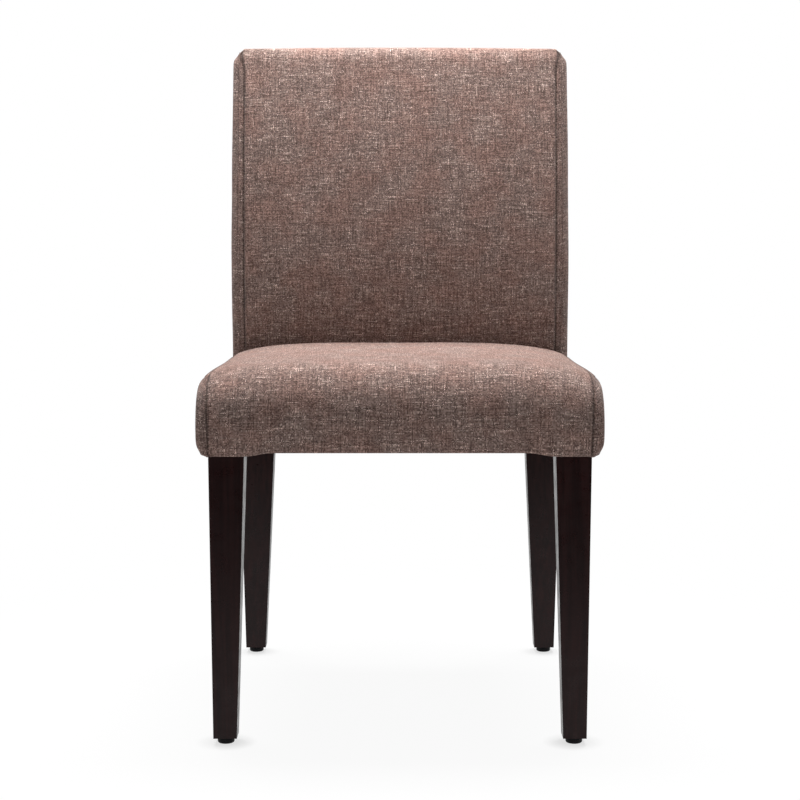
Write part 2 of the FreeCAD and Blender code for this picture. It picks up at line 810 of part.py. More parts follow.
foam_space = new_body("back_foam_space")
foam_top = "(overall_height + back_roll)"
foam_outline = [
    (FRONT, CORE_TOP),
    (f"{post_front(CORE_TOP)} - {STRAP_LAYERS}", CORE_TOP),
    (f"{post_front(foam_top)} - {STRAP_LAYERS}", foam_top),
    (FRONT, foam_top),
]
add_prism(foam_space, "YZ_Plane", [foam_outline], f"0 - {WIDE}", WIDE)

behind_seat = new_body("space_behind_seat")
behind_outline = [
    (f"{back_front('0')} + back_corner", "0"),
    (FAR, "0"),
    (FAR, "overall_height"),
    (f"{back_front('overall_height')} + back_corner", "overall_height"),
]
add_prism(behind_seat, "YZ_Plane", [behind_outline], f"0 - {WIDE}", WIDE)

arch_across = new_body("arch_across")
arch_low = "(seat_base - arch_rise)"
arch_end = f"({LEG_INNER} - arch_ramp)"
arch_across_outline = [
    (f"0 - {LEG_INNER}", arch_low),
    (LEG_INNER, arch_low),
    (LEG_INNER, "seat_base"),
    (arch_end, HEM_BOTTOM),
    (f"0 - {arch_end}", HEM_BOTTOM),
    (f"0 - {LEG_INNER}", "seat_base"),
]
add_prism(arch_across, "XZ_Plane", [arch_across_outline], f"0 - {FAR}", FAR)

arch_along = new_body("arch_along")
arch_rear = back_front("seat_base")
arch_along_outline = [
    (LEG_BACK, arch_low),
    (arch_rear, arch_low),
    (arch_rear, "seat_base"),
    (f"{arch_rear} - arch_ramp", HEM_BOTTOM),
    (f"{LEG_BACK} + arch_ramp", HEM_BOTTOM),
    (LEG_BACK, "seat_base"),
]
add_prism(arch_along, "YZ_Plane", [arch_along_outline], f"0 - {WIDE}", WIDE)

under_low = "(seat_base - seat_roll)"
under_front = f"{LEG_FRONT} - soft_gap"
under_rear = f"{post_rear(HEM_TOP)} + soft_gap"
underside = add_box(
    "underside_space",
    (f"0 - {CORE_SIDE}", under_front, under_low),
    (CORE_SIDE, under_rear, HEM_BOTTOM),
)
opening_side = f"({LEG_OUTER} - hem_width)"
opening = add_box(
    "underside_opening",
    (f"0 - {opening_side}", f"{LEG_FRONT} + hem_width", under_low),
    (opening_side, REAR_RAIL_FRONT, RAIL_TOP),
)
underside_cuts = [arch_across, arch_along, underside, opening]
for side in SIDES:
    for end, inner, low_y, high_y in (
        ("front", LEG_INNER, under_front, f"{LEG_BACK} + soft_gap"),
        ("rear", REAR_INNER, f"{post_front('seat_base')} - soft_gap", under_rear),
    ):
        near, far = span(side, f"({inner} - soft_gap)", CORE_SIDE)
        underside_cuts.append(add_box(f"{end}_{side}_leg_space", (near, low_y, under_low), (far, high_y, RAIL_TOP)))
underside_cutter = doc.addObject("Part::MultiFuse", "underside_cutter")
underside_cutter.Shapes = underside_cuts
doc.recompute()


# stuffing

above_frame = add_box("space_above_frame", (f"0 - {WIDE}", f"0 - {FAR}", CORE_TOP), (WIDE, FAR, FAR))
between_sides = add_box("space_between_sides", (f"0 - {CORE_SIDE}", f"0 - {FAR}", "0"), (CORE_SIDE, FAR, FAR))


def side_space(label, side, near):
    """Box of everything outside a plane on one side of the chair."""
    low, high = span(side, near, WIDE)
    return add_box(label, (low, f"0 - {FAR}", "0"), (high, FAR, FAR))


outside = {side: side_space(f"space_{side}_of_frame", side, CORE_SIDE) for side in SIDES}

seat_soft = combine("Cut", "seat_soft_trimmed", seat_stuffing, behind_seat)
seat_soft = combine("Cut", "seat_soft", seat_soft, back_clearance)
keep(combine("Common", "seat_foam", seat_soft, above_frame))
seat_band = combine("Cut", "seat_band_low", seat_soft, above_frame)
seat_band = combine("Cut", "seat_band", seat_band, core)
keep(combine("Common", "seat_front_wadding", seat_band, between_sides))
for side in SIDES:
    keep(combine("Common", f"seat_{side}_wadding", seat_band, outside[side]))

keep(combine("Common", "back_foam", back_stuffing, foam_space))
back_band = combine("Cut", "back_band_behind", back_stuffing, foam_space)
back_band = combine("Cut", "back_band_over_seat", back_band, core)
back_band = combine("Cut", "back_band", back_band, back_core)
keep(combine("Common", "back_rear_wadding", back_band, between_sides))
for side in SIDES:
    keep(combine("Common", f"back_{side}_wadding", back_band, outside[side]))


# covers, cut at the seams

seat_cover = hollow_out("seat_cover_skin", seat_outer, seat_hollow)
seat_cover = combine("Cut", "seat_cover_open", seat_cover, underside_cutter)
seat_cover = combine("Cut", "seat_cover_trimmed", seat_cover, behind_seat)
seat_cover = combine("Cut", "seat_cover_whole", seat_cover, back_clearance)
seat_middle = add_box("seat_between_seams", ("0 - seat_seam", f"0 - {FAR}", "0"), ("seat_seam", FAR, FAR))
keep(combine("Common", "seat_top_cover", seat_cover, seat_middle))
for side in SIDES:
    beyond = side_space(f"seat_{side}_of_seam", side, "seat_seam")
    keep(combine("Common", f"seat_{side}_cover", seat_cover, beyond))

back_cover = hollow_out("back_cover_skin", back_outer, back_hollow)
back_cover = combine("Cut", "back_cover_open", back_cover, underside_cutter)
back_cover = combine("Cut", "back_cover_whole", back_cover, core)
back_middle = add_box("back_between_seams", ("0 - back_seam", f"0 - {FAR}", "0"), ("back_seam", FAR, FAR))
back_panels = combine("Common", "back_panels", back_cover, back_middle)

closing = new_body("space_behind_closing_seam")
closing_outline = [
    (FRONT, "0"),
    (FAR, "0"),
    (FAR, foam_top),
    (f"{back_rear(foam_top)} - back_closing", foam_top),
    (f"{back_rear(CORE_TOP)} - back_closing", CORE_TOP),
    (FRONT, CORE_TOP),
]
add_prism(closing, "YZ_Plane", [closing_outline], f"0 - {WIDE}", WIDE)
keep(combine("Cut", "back_front_cover", back_panels, closing))
keep(combine("Common", "back_outside_cover", back_panels, closing))
for side in SIDES:
    beyond = side_space(f"back_{side}_of_seam", side, "back_seam")
    keep(combine("Common", f"back_{side}_cover", back_cover, beyond))


def make_dust_cover():
    """Thin cloth under the seat, notched round the four legs."""
    cloth = new_body("dust_cover")
    side = f"({LEG_OUTER} - dust_margin)"
    notch = f"({LEG_INNER} - soft_gap)"
    rear_side = f"({REAR_INNER} - soft_gap)"
    front = f"{LEG_FRONT} + dust_margin"
    front_notch = f"{LEG_BACK} + soft_gap"
    rear_notch = f"{post_front('seat_base')} - soft_gap"
    rear = f"{post_rear('seat_base')} - dust_margin"
    outline = [
        (f"0 - {notch}", front),
        (notch, front),
        (notch, front_notch),
        (side, front_notch),
        (side, rear_notch),
        (rear_side, rear_notch),
        (rear_side, rear),
        (f"0 - {rear_side}", rear),
        (f"0 - {rear_side}", rear_notch),
        (f"0 - {side}", rear_notch),
        (f"0 - {side}", front_notch),
        (f"0 - {notch}", front_notch),
    ]
    add_prism(cloth, "XY_Plane", [outline], f"{HEM_BOTTOM} - dust_thickness", HEM_BOTTOM)
    keep(cloth)


make_dust_cover()


# levelling glides


def make_glide(end, side, foot_y):
    """Glide under one leg: a round base on a stem that screws into the leg's T-nut."""
    centre = [(signed(side, "(foot_spread / 2 - foot_width / 2)"), foot_y)]
    base = new_body(f"{end}_{side}_glide_base")
    add_pegs(base, "XY_Plane", centre, "glide_radius", "0", "glide_height")
    chamfer_end(base, "0", "glide_edge")
    stem = new_body(f"{end}_{side}_glide_stem")
    add_pegs(stem, "XY_Plane", centre, "stem_radius", "glide_height", "glide_height + stem_length")
    nut = new_body(f"{end}_{side}_t_nut")
    flange = hexagon(centre[0], "nut_flange_radius")
    add_prism(nut, "XY_Plane", [flange], LEG_END, f"{LEG_END} + nut_flange_thickness")
    add_pegs(nut, "XY_Plane", centre, "nut_barrel_radius", LEG_END, f"{LEG_END} + nut_barrel_length")
    cut_bores(nut, "XY_Plane", centre, "nut_bore_radius", LEG_END, f"{LEG_END} + nut_barrel_length")
    for piece in (base, stem, nut):
        keep(piece)


for side in SIDES:
    make_glide("front", side, FRONT_FOOT)
    make_glide("rear", side, REAR_FOOT)

doc.recompute()


# checks, then one file for each sub-part

for item in doc.Objects:
    if "Invalid" in item.State or "Error" in item.State:
        raise RuntimeError(f"{item.Label}: {item.State}")
for node in nodes:
    if node.Shape.isNull() or not node.Shape.isValid() or node.Shape.Volume <= 0:
        raise RuntimeError(f"{node.Label}: its shape is not a valid solid")

os.makedirs("parts", exist_ok=True)
for node in nodes:
    node.Shape.exportStep(f"parts/{node.Label}.step")
    box = node.Shape.BoundBox
    print(f"{node.Label}: {len(node.Shape.Solids)} solids, {node.Shape.Volume:.0f} mm3,"
          f" X {box.XMin:.1f} {box.XMax:.1f} Y {box.YMin:.1f} {box.YMax:.1f} Z {box.ZMin:.1f} {box.ZMax:.1f}")
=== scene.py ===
import functools
import logging
import math
from dataclasses import dataclass, field
from enum import Enum
from typing import Sequence, Union

import bmesh
import bpy
import numpy as np
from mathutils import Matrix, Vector, noise


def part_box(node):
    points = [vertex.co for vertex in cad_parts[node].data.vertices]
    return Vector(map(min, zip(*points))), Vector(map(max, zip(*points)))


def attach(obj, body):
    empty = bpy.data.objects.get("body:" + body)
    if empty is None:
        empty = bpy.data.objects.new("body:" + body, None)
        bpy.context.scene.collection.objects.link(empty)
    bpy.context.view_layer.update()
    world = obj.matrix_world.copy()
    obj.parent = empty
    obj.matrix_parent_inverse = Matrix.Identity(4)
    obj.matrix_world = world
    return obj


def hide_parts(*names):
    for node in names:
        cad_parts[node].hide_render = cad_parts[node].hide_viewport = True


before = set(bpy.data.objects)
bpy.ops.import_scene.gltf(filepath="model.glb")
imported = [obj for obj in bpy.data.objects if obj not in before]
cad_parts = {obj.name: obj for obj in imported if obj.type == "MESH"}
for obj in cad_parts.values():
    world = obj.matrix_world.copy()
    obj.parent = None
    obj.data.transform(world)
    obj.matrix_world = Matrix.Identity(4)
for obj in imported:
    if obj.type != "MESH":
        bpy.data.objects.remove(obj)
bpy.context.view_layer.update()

LOG = logging.getLogger("banquet_chair")
CHAIR = "chair"
# distances of the first rows of cloth from a seam, in metres
SEAM_ROWS = (0.0, 0.0012, 0.0026, 0.0044, 0.0066, 0.0095, 0.0135, 0.019)
SEAM_PULL = 0.0017
CLOTH_STEP = 0.0065
COVER_THICKNESS = 0.0016
HOLD_NEAR = 0.006
HOLD_FADE = 0.03
# painted shade along the seams: the mesh attribute that marks it, how far it reaches from a seam, and its
# near-black colour
PAINTED_SEAM_SHADE = "ditch"
PAINTED_SEAM_SHADE_WIDTH = 0.0016
PAINTED_SEAM_SHADE_COLOR = (0.014, 0.009, 0.008, 1)
UV_MAP = "cloth"
SHARP_EDGE = math.radians(40)

Array = np.ndarray
Piece = bpy.types.Object
Material = bpy.types.Material
Tree = bpy.types.NodeTree
Node = bpy.types.Node
Socket = bpy.types.NodeSocket
Spot = tuple[float, float]
Place = tuple[float, float, float]
Color = tuple[float, float, float, float]
Value = Union[float, Color, Place, Socket]


class Side(Enum):
    """The two sides of the chair as the viewer sees them, with their sign along X."""

    LEFT = -1
    RIGHT = 1

    @property
    def word(self) -> str:
        """The side's name in lower case."""
        return self.name.lower()


class End(Enum):
    """The two ends of the chair along its depth."""

    FRONT = "front"
    REAR = "rear"


def smooth(value: Array) -> Array:
    """Ease from 0 to 1 over a value from 0 to 1."""
    held = np.clip(value, 0.0, 1.0)
    return held * held * (3.0 - 2.0 * held)


def uneven(points: Array, size: float, height: float) -> Array:
    """Give the slight unevenness of hand-laid padding at some points.

    Args:
        points: Rows of places in metres.
        size: How far apart the swells are, in metres.
        height: How high the swells are, in metres.

    Returns:
        One height for each point, in metres.
    """
    flat = points.reshape(-1, 3) / size
    heights = [noise.noise(Vector(place)) for place in flat]
    return height * np.array(heights).reshape(points.shape[:-1])


class Graph:
    """A shader node tree with short calls that add nodes and join them."""

    def __init__(self, tree: Tree) -> None:
        """Take the tree that the calls add to."""
        self.tree = tree

    def add(self, kind: str, **choices: object) -> Node:
        """Add a node of a kind and set its own choices."""
        node = self.tree.nodes.new(kind)
        for key, choice in choices.items():
            setattr(node, key, choice)
        return node

    def feed(self, node: Node, values: dict[Union[str, int], Value]) -> Node:
        """Join a node's inputs, by name or number, to the values, or set them where the values are plain."""
        for key, value in values.items():
            if isinstance(value, Socket):
                self.tree.links.new(value, node.inputs[key])
            else:
                node.inputs[key].default_value = value
        return node

    def math(self, operation: str, first: Value, second: Value = 0.0) -> Socket:
        """Return the result of a Math node."""
        return self.feed(self.add("ShaderNodeMath", operation=operation), {0: first, 1: second}).outputs[0]

    def times(self, first: Value, second: Value) -> Socket:
        """Return the product of two values."""
        return self.math("MULTIPLY", first, second)

    def vector_math(self, operation: str, first: Value, second: Value = (0.0, 0.0, 0.0)) -> Node:
        """Return a Vector Math node fed with two vectors."""
        return self.feed(self.add("ShaderNodeVectorMath", operation=operation), {0: first, 1: second})

    def span(self, value: Value, low: float, high: float, start: float = 0.0, end: float = 1.0) -> Socket:
        """Return a value moved smoothly from the range low to high to the range start to end."""
        node = self.add("ShaderNodeMapRange", interpolation_type="SMOOTHSTEP")
        return self.feed(node, dict(enumerate((value, low, high, start, end)))).outputs[0]

    def mix(self, share: Value, first: Value, second: Value, blend: str = "MIX") -> Socket:
        """Return a mix of two colours."""
        node = self.add("ShaderNodeMix", data_type="RGBA", blend_type=blend)
        return self.feed(node, {0: share, 6: first, 7: second}).outputs[2]

    def grey(self, value: Value) -> Socket:
        """Return a grey of the given value."""
        return self.feed(self.add("ShaderNodeCombineColor"), dict.fromkeys(range(3), value)).outputs[0]

    def place(self, across: Value, along: Value, up: Value) -> Socket:
        """Return a vector of three values."""
        return self.feed(self.add("ShaderNodeCombineXYZ"), {0: across, 1: along, 2: up}).outputs[0]

    def parts(self, vector: Value) -> Sequence[Socket]:
        """Return a vector's three values."""
        return self.feed(self.add("ShaderNodeSeparateXYZ"), {0: vector}).outputs

    def stretch(self, vector: Value, scale: Place) -> Socket:
        """Return a vector scaled along its three axes."""
        return self.feed(self.add("ShaderNodeMapping"), {"Vector": vector, "Scale": scale}).outputs[0]

    def cloud(self, vector: Value, scale: float, detail: float = 2.0, roughness: float = 0.5) -> Socket:
        """Return the value of a Noise Texture."""
        sizes = {"Vector": vector, "Scale": scale, "Detail": detail, "Roughness": roughness}
        return self.feed(self.add("ShaderNodeTexNoise"), sizes).outputs[0]

    def group(self, tree: Tree, values: dict[str, Value]) -> Sequence[Socket]:
        """Place a node group, feed its inputs and return its outputs."""
        return self.feed(self.add("ShaderNodeGroup", node_tree=tree), values).outputs

    def bump(self, height: Value, strength: float, distance: float) -> Socket:
        """Return a normal raised by a height."""
        sizes = {"Strength": strength, "Distance": distance, "Height": height}
        return self.feed(self.add("ShaderNodeBump"), sizes).outputs[0]


def new_group(name: str, inputs: dict[str, str], outputs: dict[str, str]) -> tuple[Graph, dict, Node]:
    """Start a shader node group.

    Args:
        name: The group's name.
        inputs: Kind of each input by name.
        outputs: Kind of each output by name.

    Returns:
        The graph, its input sockets by name, and its output node.
    """
    tree = bpy.data.node_groups.new(name, "ShaderNodeTree")
    for way, sockets in (("INPUT", inputs), ("OUTPUT", outputs)):
        for word, kind in sockets.items():
            tree.interface.new_socket(word, in_out=way, socket_type=f"NodeSocket{kind}")
    graph = Graph(tree)
    start = graph.add("NodeGroupInput")
    finish = graph.add("NodeGroupOutput")
    return graph, {socket.name: socket for socket in start.outputs if socket.name}, finish


class Effects:
    """Shader groups that more than one finish uses, each built once."""

    @staticmethod
    @functools.cache
    def weave() -> Tree:
        """Plain weave of slub yarns, with light slubs, dark flecks, a cloudy tint and painted shade in the
        gaps between the yarns.
        """
        inputs = {"Cloth": "Vector", "Yarn": "Float", "Ground": "Color", "Slub": "Color", "Fleck": "Color",
                  "Tint": "Color"}
        outputs = {"Color": "Color", "Roughness": "Float", "Height": "Float"}
        graph, given, finish = new_group("slub_weave", inputs, outputs)
        cloth = given["Cloth"]
        across, along, _ = graph.parts(cloth)
        yarns = [graph.math("DIVIDE", part, given["Yarn"]) for part in (across, along)]
        index = [graph.math("FLOOR", yarn) for yarn in yarns]
        rounds = []
        for yarn in yarns:
            turn = graph.times(graph.math("SUBTRACT", graph.math("FRACT", yarn), 0.5), math.pi)
            rounds.append(graph.math("COSINE", turn))
        parity = graph.math("FLOORED_MODULO", graph.math("ADD", *index), 2.0)
        over = graph.math("SUBTRACT", graph.times(parity, 0.8), 0.4)
        warp = graph.times(rounds[0], graph.math("ADD", 0.6, graph.times(over, rounds[1])))
        weft = graph.times(rounds[1], graph.math("SUBTRACT", 0.6, graph.times(over, rounds[0])))
        height = graph.math("MAXIMUM", warp, weft)
        warp_shows = graph.span(graph.math("SUBTRACT", warp, weft), -0.12, 0.12)
        spread = [graph.times(number, 7.31) for number in index]
        warp_run = graph.place(spread[0], graph.times(along, 55.0), 3.7)
        weft_run = graph.place(graph.times(across, 42.0), spread[1], 9.2)
        shades = []
        for run, low, high in ((warp_run, 0.64, 0.70), (weft_run, 0.59, 0.66)):
            tone = graph.cloud(run, 1.0, 2.0, 0.6)
            light = graph.mix(graph.span(tone, low, high, 0.0, 0.9), given["Ground"], given["Slub"])
            shades.append(graph.mix(graph.span(tone, 0.42, 0.30, 0.0, 0.85), light, given["Fleck"]))
        crossing = graph.add("ShaderNodeTexWhiteNoise", noise_dimensions="2D")
        chance = graph.feed(crossing, {"Vector": graph.place(*index, 0.0)}).outputs["Value"]
        nubs = graph.span(chance, 0.97, 0.985, 0.0, 0.5)
        yarn_color = graph.mix(nubs, graph.mix(warp_shows, shades[1], shades[0]), given["Slub"])
        patch = graph.cloud(cloth, 19.0, 3.0, 0.55)
        tinted = graph.mix(graph.span(patch, 0.36, 0.66, 0.0, 0.55), yarn_color, given["Tint"])
        fibre = graph.span(graph.cloud(cloth, 1500.0, 1.0), 0.3, 0.7, 0.86, 1.12)
        # painted shade: the colour is darkened where the weave is low, in the gaps between yarns
        hollow = graph.span(height, 0.2, 0.85, 0.55, 1.0)
        tone = graph.span(chance, 0.0, 1.0, 0.57, 1.43)
        streaks = (((720.0, 22.0, 1.0), 0.24), ((34.0, 720.0, 1.0), 0.2), ((11.0, 260.0, 1.0), 0.08))
        for streak, depth in streaks:
            bars = graph.cloud(graph.stretch(cloth, streak), 1.0, 1.0)
            tone = graph.times(tone, graph.span(bars, 0.28, 0.72, 1.0 - depth, 1.0 + depth))
        # random fibre and yarn tone, times the painted shade in the gaps between yarns
        shade = graph.grey(graph.times(graph.times(fibre, hollow), tone))
        thick = graph.times(graph.math("SUBTRACT", fibre, 1.0), 0.5)
        graph.feed(finish, {
            "Color": graph.mix(1.0, tinted, shade, "MULTIPLY"),
            "Roughness": graph.span(height, 0.2, 0.9, 0.98, 0.82),
            "Height": graph.math("ADD", height, thick),
        })
        return graph.tree

    @staticmethod
    @functools.cache
    def figure() -> Tree:
        """Straight wood grain: broad growth bands and fine open pores along the third axis."""
        outputs = {"Bands": "Float", "Pores": "Float"}
        graph, given, finish = new_group("wood_figure", {"Place": "Vector"}, outputs)
        wander = graph.cloud(graph.stretch(given["Place"], (14.0, 14.0, 3.0)), 1.0, 2.0)
        aside = graph.place(graph.times(wander, 0.02), 0.0, 0.0)
        bent = graph.vector_math("ADD", given["Place"], aside).outputs[0]
        bands = graph.cloud(graph.stretch(bent, (170.0, 170.0, 5.0)), 1.0, 4.0, 0.6)
        pores = graph.cloud(graph.stretch(bent, (1500.0, 1500.0, 60.0)), 1.0, 1.0)
        graph.feed(finish, {"Bands": graph.span(bands, 0.32, 0.68), "Pores": graph.span(pores, 0.6, 0.75)})
        return graph.tree


def new_material(name: str) -> tuple[Material, Graph, Node, Sequence[Socket]]:
    """Start a material.

    Args:
        name: The material's name.

    Returns:
        The material, its graph, its Principled shader and its texture coordinates.
    """
    material = bpy.data.materials.new(name)
    material.use_nodes = True
    graph = Graph(material.node_tree)
    shader = material.node_tree.nodes["Principled BSDF"]
    return material, graph, shader, graph.add("ShaderNodeTexCoord").outputs


@dataclass(frozen=True)
class ClothFinish:
    """A woven cloth of slub yarns."""

    name: str
    ground: Color
    slub: Color
    fleck: Color
    tint: Color
    yarn: float
    sheen: float
    coordinates: str
    # how strongly painted shade darkens the cloth along its seams
    ditch: float = 0.0

    def material(self) -> Material:
        """Build the cloth's material on its coordinates, with painted shade darkening the cloth in dashes
        along its seams.
        """
        material, graph, shader, place = new_material(self.name)
        looks = {"Cloth": place[self.coordinates], "Yarn": self.yarn, "Ground": self.ground,
                 "Slub": self.slub, "Fleck": self.fleck, "Tint": self.tint}
        weave = graph.group(Effects.weave(), looks)
        # painted shade: near the seams the weave's colour gives way to a near-black colour, broken into
        # dashes
        seam = graph.add("ShaderNodeAttribute", attribute_name=PAINTED_SEAM_SHADE).outputs["Fac"]
        dashes = graph.span(graph.cloud(place["Object"], 420.0, 1.0), 0.36, 0.6, 0.6, 1.0)
        drawn_in = graph.times(graph.times(seam, self.ditch), dashes)
        graph.feed(shader, {
            "Base Color": graph.mix(drawn_in, weave["Color"], PAINTED_SEAM_SHADE_COLOR),
            "Roughness": weave["Roughness"],
            "Normal": graph.bump(weave["Height"], 0.55, self.yarn / 4),
            "Specular IOR Level": 0.0,
            "Sheen Weight": self.sheen,
            "Sheen Roughness": 0.4,
            "Sheen Tint": (1.0, 0.93, 0.9, 1.0),
        })
        return material


@dataclass(frozen=True)
class WoodFinish:
    """Wood, stained and lacquered or left plain."""

    name: str
    dark: Color
    light: Color
    roughness: Spot
    specular: float
    pore_depth: float

    def material(self) -> Material:
        """Build the wood's material, with its grain along Z."""
        material, graph, shader, place = new_material(self.name)
        figure = graph.group(Effects.figure(), {"Place": place["Object"]})
        stain = graph.cloud(place["Object"], 9.0, 2.0)
        bands = graph.times(figure["Bands"], graph.span(stain, 0.3, 0.7, 0.55, 1.0))
        haze = graph.cloud(place["Object"], 60.0, 3.0)
        hollows = graph.math("SUBTRACT", 1.0, figure["Pores"])
        graph.feed(shader, {
            "Base Color": graph.mix(bands, self.dark, self.light),
            "Roughness": graph.span(haze, 0.3, 0.7, *self.roughness),
            "Normal": graph.bump(hollows, 0.3, self.pore_depth),
            "Specular IOR Level": self.specular,
        })
        return material


@dataclass(frozen=True)
class PlainFinish:
    """A moulded, plated, matted or spun finish with a fine mottled surface."""

    name: str
    color: Color
    mottle: Color
    scale: float
    roughness: Spot
    metallic: float
    depth: float
    specular: float = 0.5

    def material(self) -> Material:
        """Build the material on Object coordinates."""
        material, graph, shader, place = new_material(self.name)
        fine = graph.cloud(place["Object"], self.scale, 3.0, 0.6)
        broad = graph.cloud(place["Object"], self.scale / 12, 2.0)
        share = graph.span(graph.times(graph.math("ADD", fine, broad), 0.5), 0.36, 0.64)
        graph.feed(shader, {
            "Base Color": graph.mix(share, self.color, self.mottle),
            "Roughness": graph.span(fine, 0.3, 0.7, *self.roughness),
            "Normal": graph.bump(fine, 0.4, self.depth),
            "Metallic": self.metallic,
            "Specular IOR Level": self.specular,
        })
        return material


# the last number is how strongly the painted seam shade darkens the upholstery
UPHOLSTERY = ClothFinish("slub_upholstery", (0.225, 0.160, 0.140, 1), (0.62, 0.48, 0.42, 1),
                         (0.10, 0.064, 0.056, 1), (0.235, 0.138, 0.114, 1), 0.0014, 0.14, "UV", 0.95)
WEBBING = ClothFinish("jute_webbing", (0.36, 0.27, 0.16, 1), (0.52, 0.42, 0.27, 1),
                      (0.20, 0.13, 0.07, 1), (0.33, 0.24, 0.14, 1), 0.0021, 0.2, "Object")
LACQUERED_WOOD = WoodFinish("espresso_lacquer", (0.0085, 0.0018, 0.0018, 1), (0.021, 0.0055, 0.0052, 1),
                            (0.26, 0.38), 0.2, 0.00004)
FRAME_WOOD = WoodFinish("raw_beech", (0.42, 0.27, 0.15, 1), (0.60, 0.43, 0.27, 1), (0.55, 0.75), 0.4, 0.00006)
GLIDE_NYLON = PlainFinish("glide_nylon", (0.010, 0.010, 0.011, 1), (0.018, 0.017, 0.018, 1),
                          900.0, (0.38, 0.55), 0.0, 0.00003, 0.1)
ZINC_STEEL = PlainFinish("zinc_plated_steel", (0.52, 0.53, 0.55, 1), (0.68, 0.68, 0.69, 1),
                         700.0, (0.25, 0.42), 1.0, 0.00002)
DUST_CLOTH = PlainFinish("dust_cloth", (0.010, 0.010, 0.011, 1), (0.030, 0.029, 0.030, 1),
                         1100.0, (0.85, 0.98), 0.0, 0.00025)
THREAD = PlainFinish("sewing_thread", (0.060, 0.034, 0.030, 1), (0.105, 0.064, 0.056, 1),
                     2500.0, (0.6, 0.8), 0.0, 0.00005)


@functools.cache
def material_of(finish: Union[ClothFinish, WoodFinish, PlainFinish]) -> Material:
    """Return a finish's material, built when it is first asked for."""
    return finish.material()


def link(name: str, mesh: bpy.types.Mesh, material: Material) -> Piece:
    """Put a mesh into the scene as a piece with one material."""
    mesh.materials.clear()
    mesh.materials.append(material)
    piece = bpy.data.objects.new(name, mesh)
    bpy.context.scene.collection.objects.link(piece)
    return piece


def finish_piece(piece: Piece, body: str, slot: str, *nodes: str) -> Piece:
    """Ride a piece on its body and hide the CAD nodes that it stands for.

    Args:
        piece: The piece, in its place.
        body: The body that it moves with.
        slot: The piece's material slot; not used.
        nodes: The CAD nodes that it replaces.

    Returns:
        The piece.
    """
    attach(piece, body)
    if nodes:
        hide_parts(*nodes)
    LOG.info("%s rides on %s with %d faces", piece.name, body, len(piece.data.polygons))
    return piece


def outline_at(node: str, level: float) -> tuple[float, float, float, float]:
    """Return the lowest and highest X and Y of a CAD node's corners at a level."""
    corners = [v.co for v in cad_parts[node].data.vertices if abs(v.co.z - level) < 0.0003]
    across = [corner.x for corner in corners]
    along = [corner.y for corner in corners]
    return min(across), max(across), min(along), max(along)


class Path:
    """A smooth line in the side view, as places (Y, Z) by length along it."""

    def __init__(self, places: Sequence[Spot]) -> None:
        """Take the places in order and measure along them."""
        self.places = np.array(places, float)
        steps = np.linalg.norm(np.diff(self.places, axis=0), axis=1)
        self.run = np.concatenate([[0.0], np.cumsum(steps)])

    def at(self, run: Array) -> Array:
        """Return the places at some lengths along the line."""
        return np.stack([np.interp(run, self.run, self.places[:, axis]) for axis in (0, 1)], axis=-1)

    def outward(self, run: Array) -> Array:
        """Return the outward direction at some lengths, with the padding on the right of the line."""
        reach = 0.0015
        ahead = self.at(np.minimum(run + reach, self.run[-1])) - self.at(np.maximum(run - reach, 0.0))
        ahead /= np.linalg.norm(ahead, axis=-1, keepdims=True)
        return np.stack([-ahead[..., 1], ahead[..., 0]], axis=-1)

    def reach(self, place: Spot) -> float:
        """Return the length along the line of the place nearest to the one given."""
        gaps = np.linalg.norm(self.places - np.array(place), axis=1)
        return float(self.run[int(np.argmin(gaps))])


def arc(centre: Spot, radii: Spot, start: float, end: float,
        steps: int = 24) -> list[Spot]:
    """Return places on an elliptical arc, with its angles in degrees."""
    turns = np.radians(np.linspace(start, end, steps))
    return [(centre[0] + radii[0] * math.cos(t), centre[1] + radii[1] * math.sin(t)) for t in turns]


def rows_between(start: float, end: float, near_start: bool, near_end: bool) -> Array:
    """Return lengths from start to end, close together near a seam and a cloth step apart elsewhere."""
    first = [start + row for row in SEAM_ROWS] if near_start else [start]
    last = [end - row for row in reversed(SEAM_ROWS)] if near_end else [end]
    count = max(2, round((last[0] - first[-1]) / CLOTH_STEP) + 1)
    middle = np.linspace(first[-1], last[0], count)
    return np.concatenate([first[:-1], middle, last[1:]])


def columns_between(half: float) -> Array:
    """Return places across a panel, from -1 to 1, close together near its seams."""
    return rows_between(-half, half, True, True) / half


def joined(lines: Sequence[Array]) -> Array:
    """Return lines that meet end to end as one, without repeating the places where they meet."""
    return np.concatenate([lines[0], *(line[1:] for line in lines[1:])])


def seam_dip(gap: Array, depth: float) -> Array:
    """Return how far cloth is drawn in by a seam at some distances from it."""
    return depth * np.exp(-((gap / SEAM_PULL) ** 2))


def nearest(points: Array, line: Array) -> tuple[Array, Array]:
    """Return each point's distance from a line of places, and the index of the nearest place."""
    gaps = np.linalg.norm(points.reshape(-1, 1, 2) - line.reshape(1, -1, 2), axis=2)
    index = np.argmin(gaps, axis=1)
    return np.min(gaps, axis=1).reshape(points.shape[:-1]), index.reshape(points.shape[:-1])


def coons(left: Array, right: Array, bottom: Array, top: Array) -> Array:
    """Fill four edges with a grid of places, rows from bottom to top and columns from left to right."""
    def shares(line: Array) -> Array:
        """Return the share of an edge's length at each of its places."""
        steps = np.linalg.norm(np.diff(line, axis=0), axis=1)
        return np.concatenate([[0.0], np.cumsum(steps)]) / steps.sum()

    up = shares(left)[:, None, None]
    across = shares(top)[None, :, None]
    between_sides = (1 - across) * left[:, None] + across * right[:, None]
    between_ends = (1 - up) * bottom[None] + up * top[None]
    corners = ((1 - across) * (1 - up) * left[0] + across * (1 - up) * right[0]
               + (1 - across) * up * left[-1] + across * up * right[-1])
    return between_sides + between_ends - corners


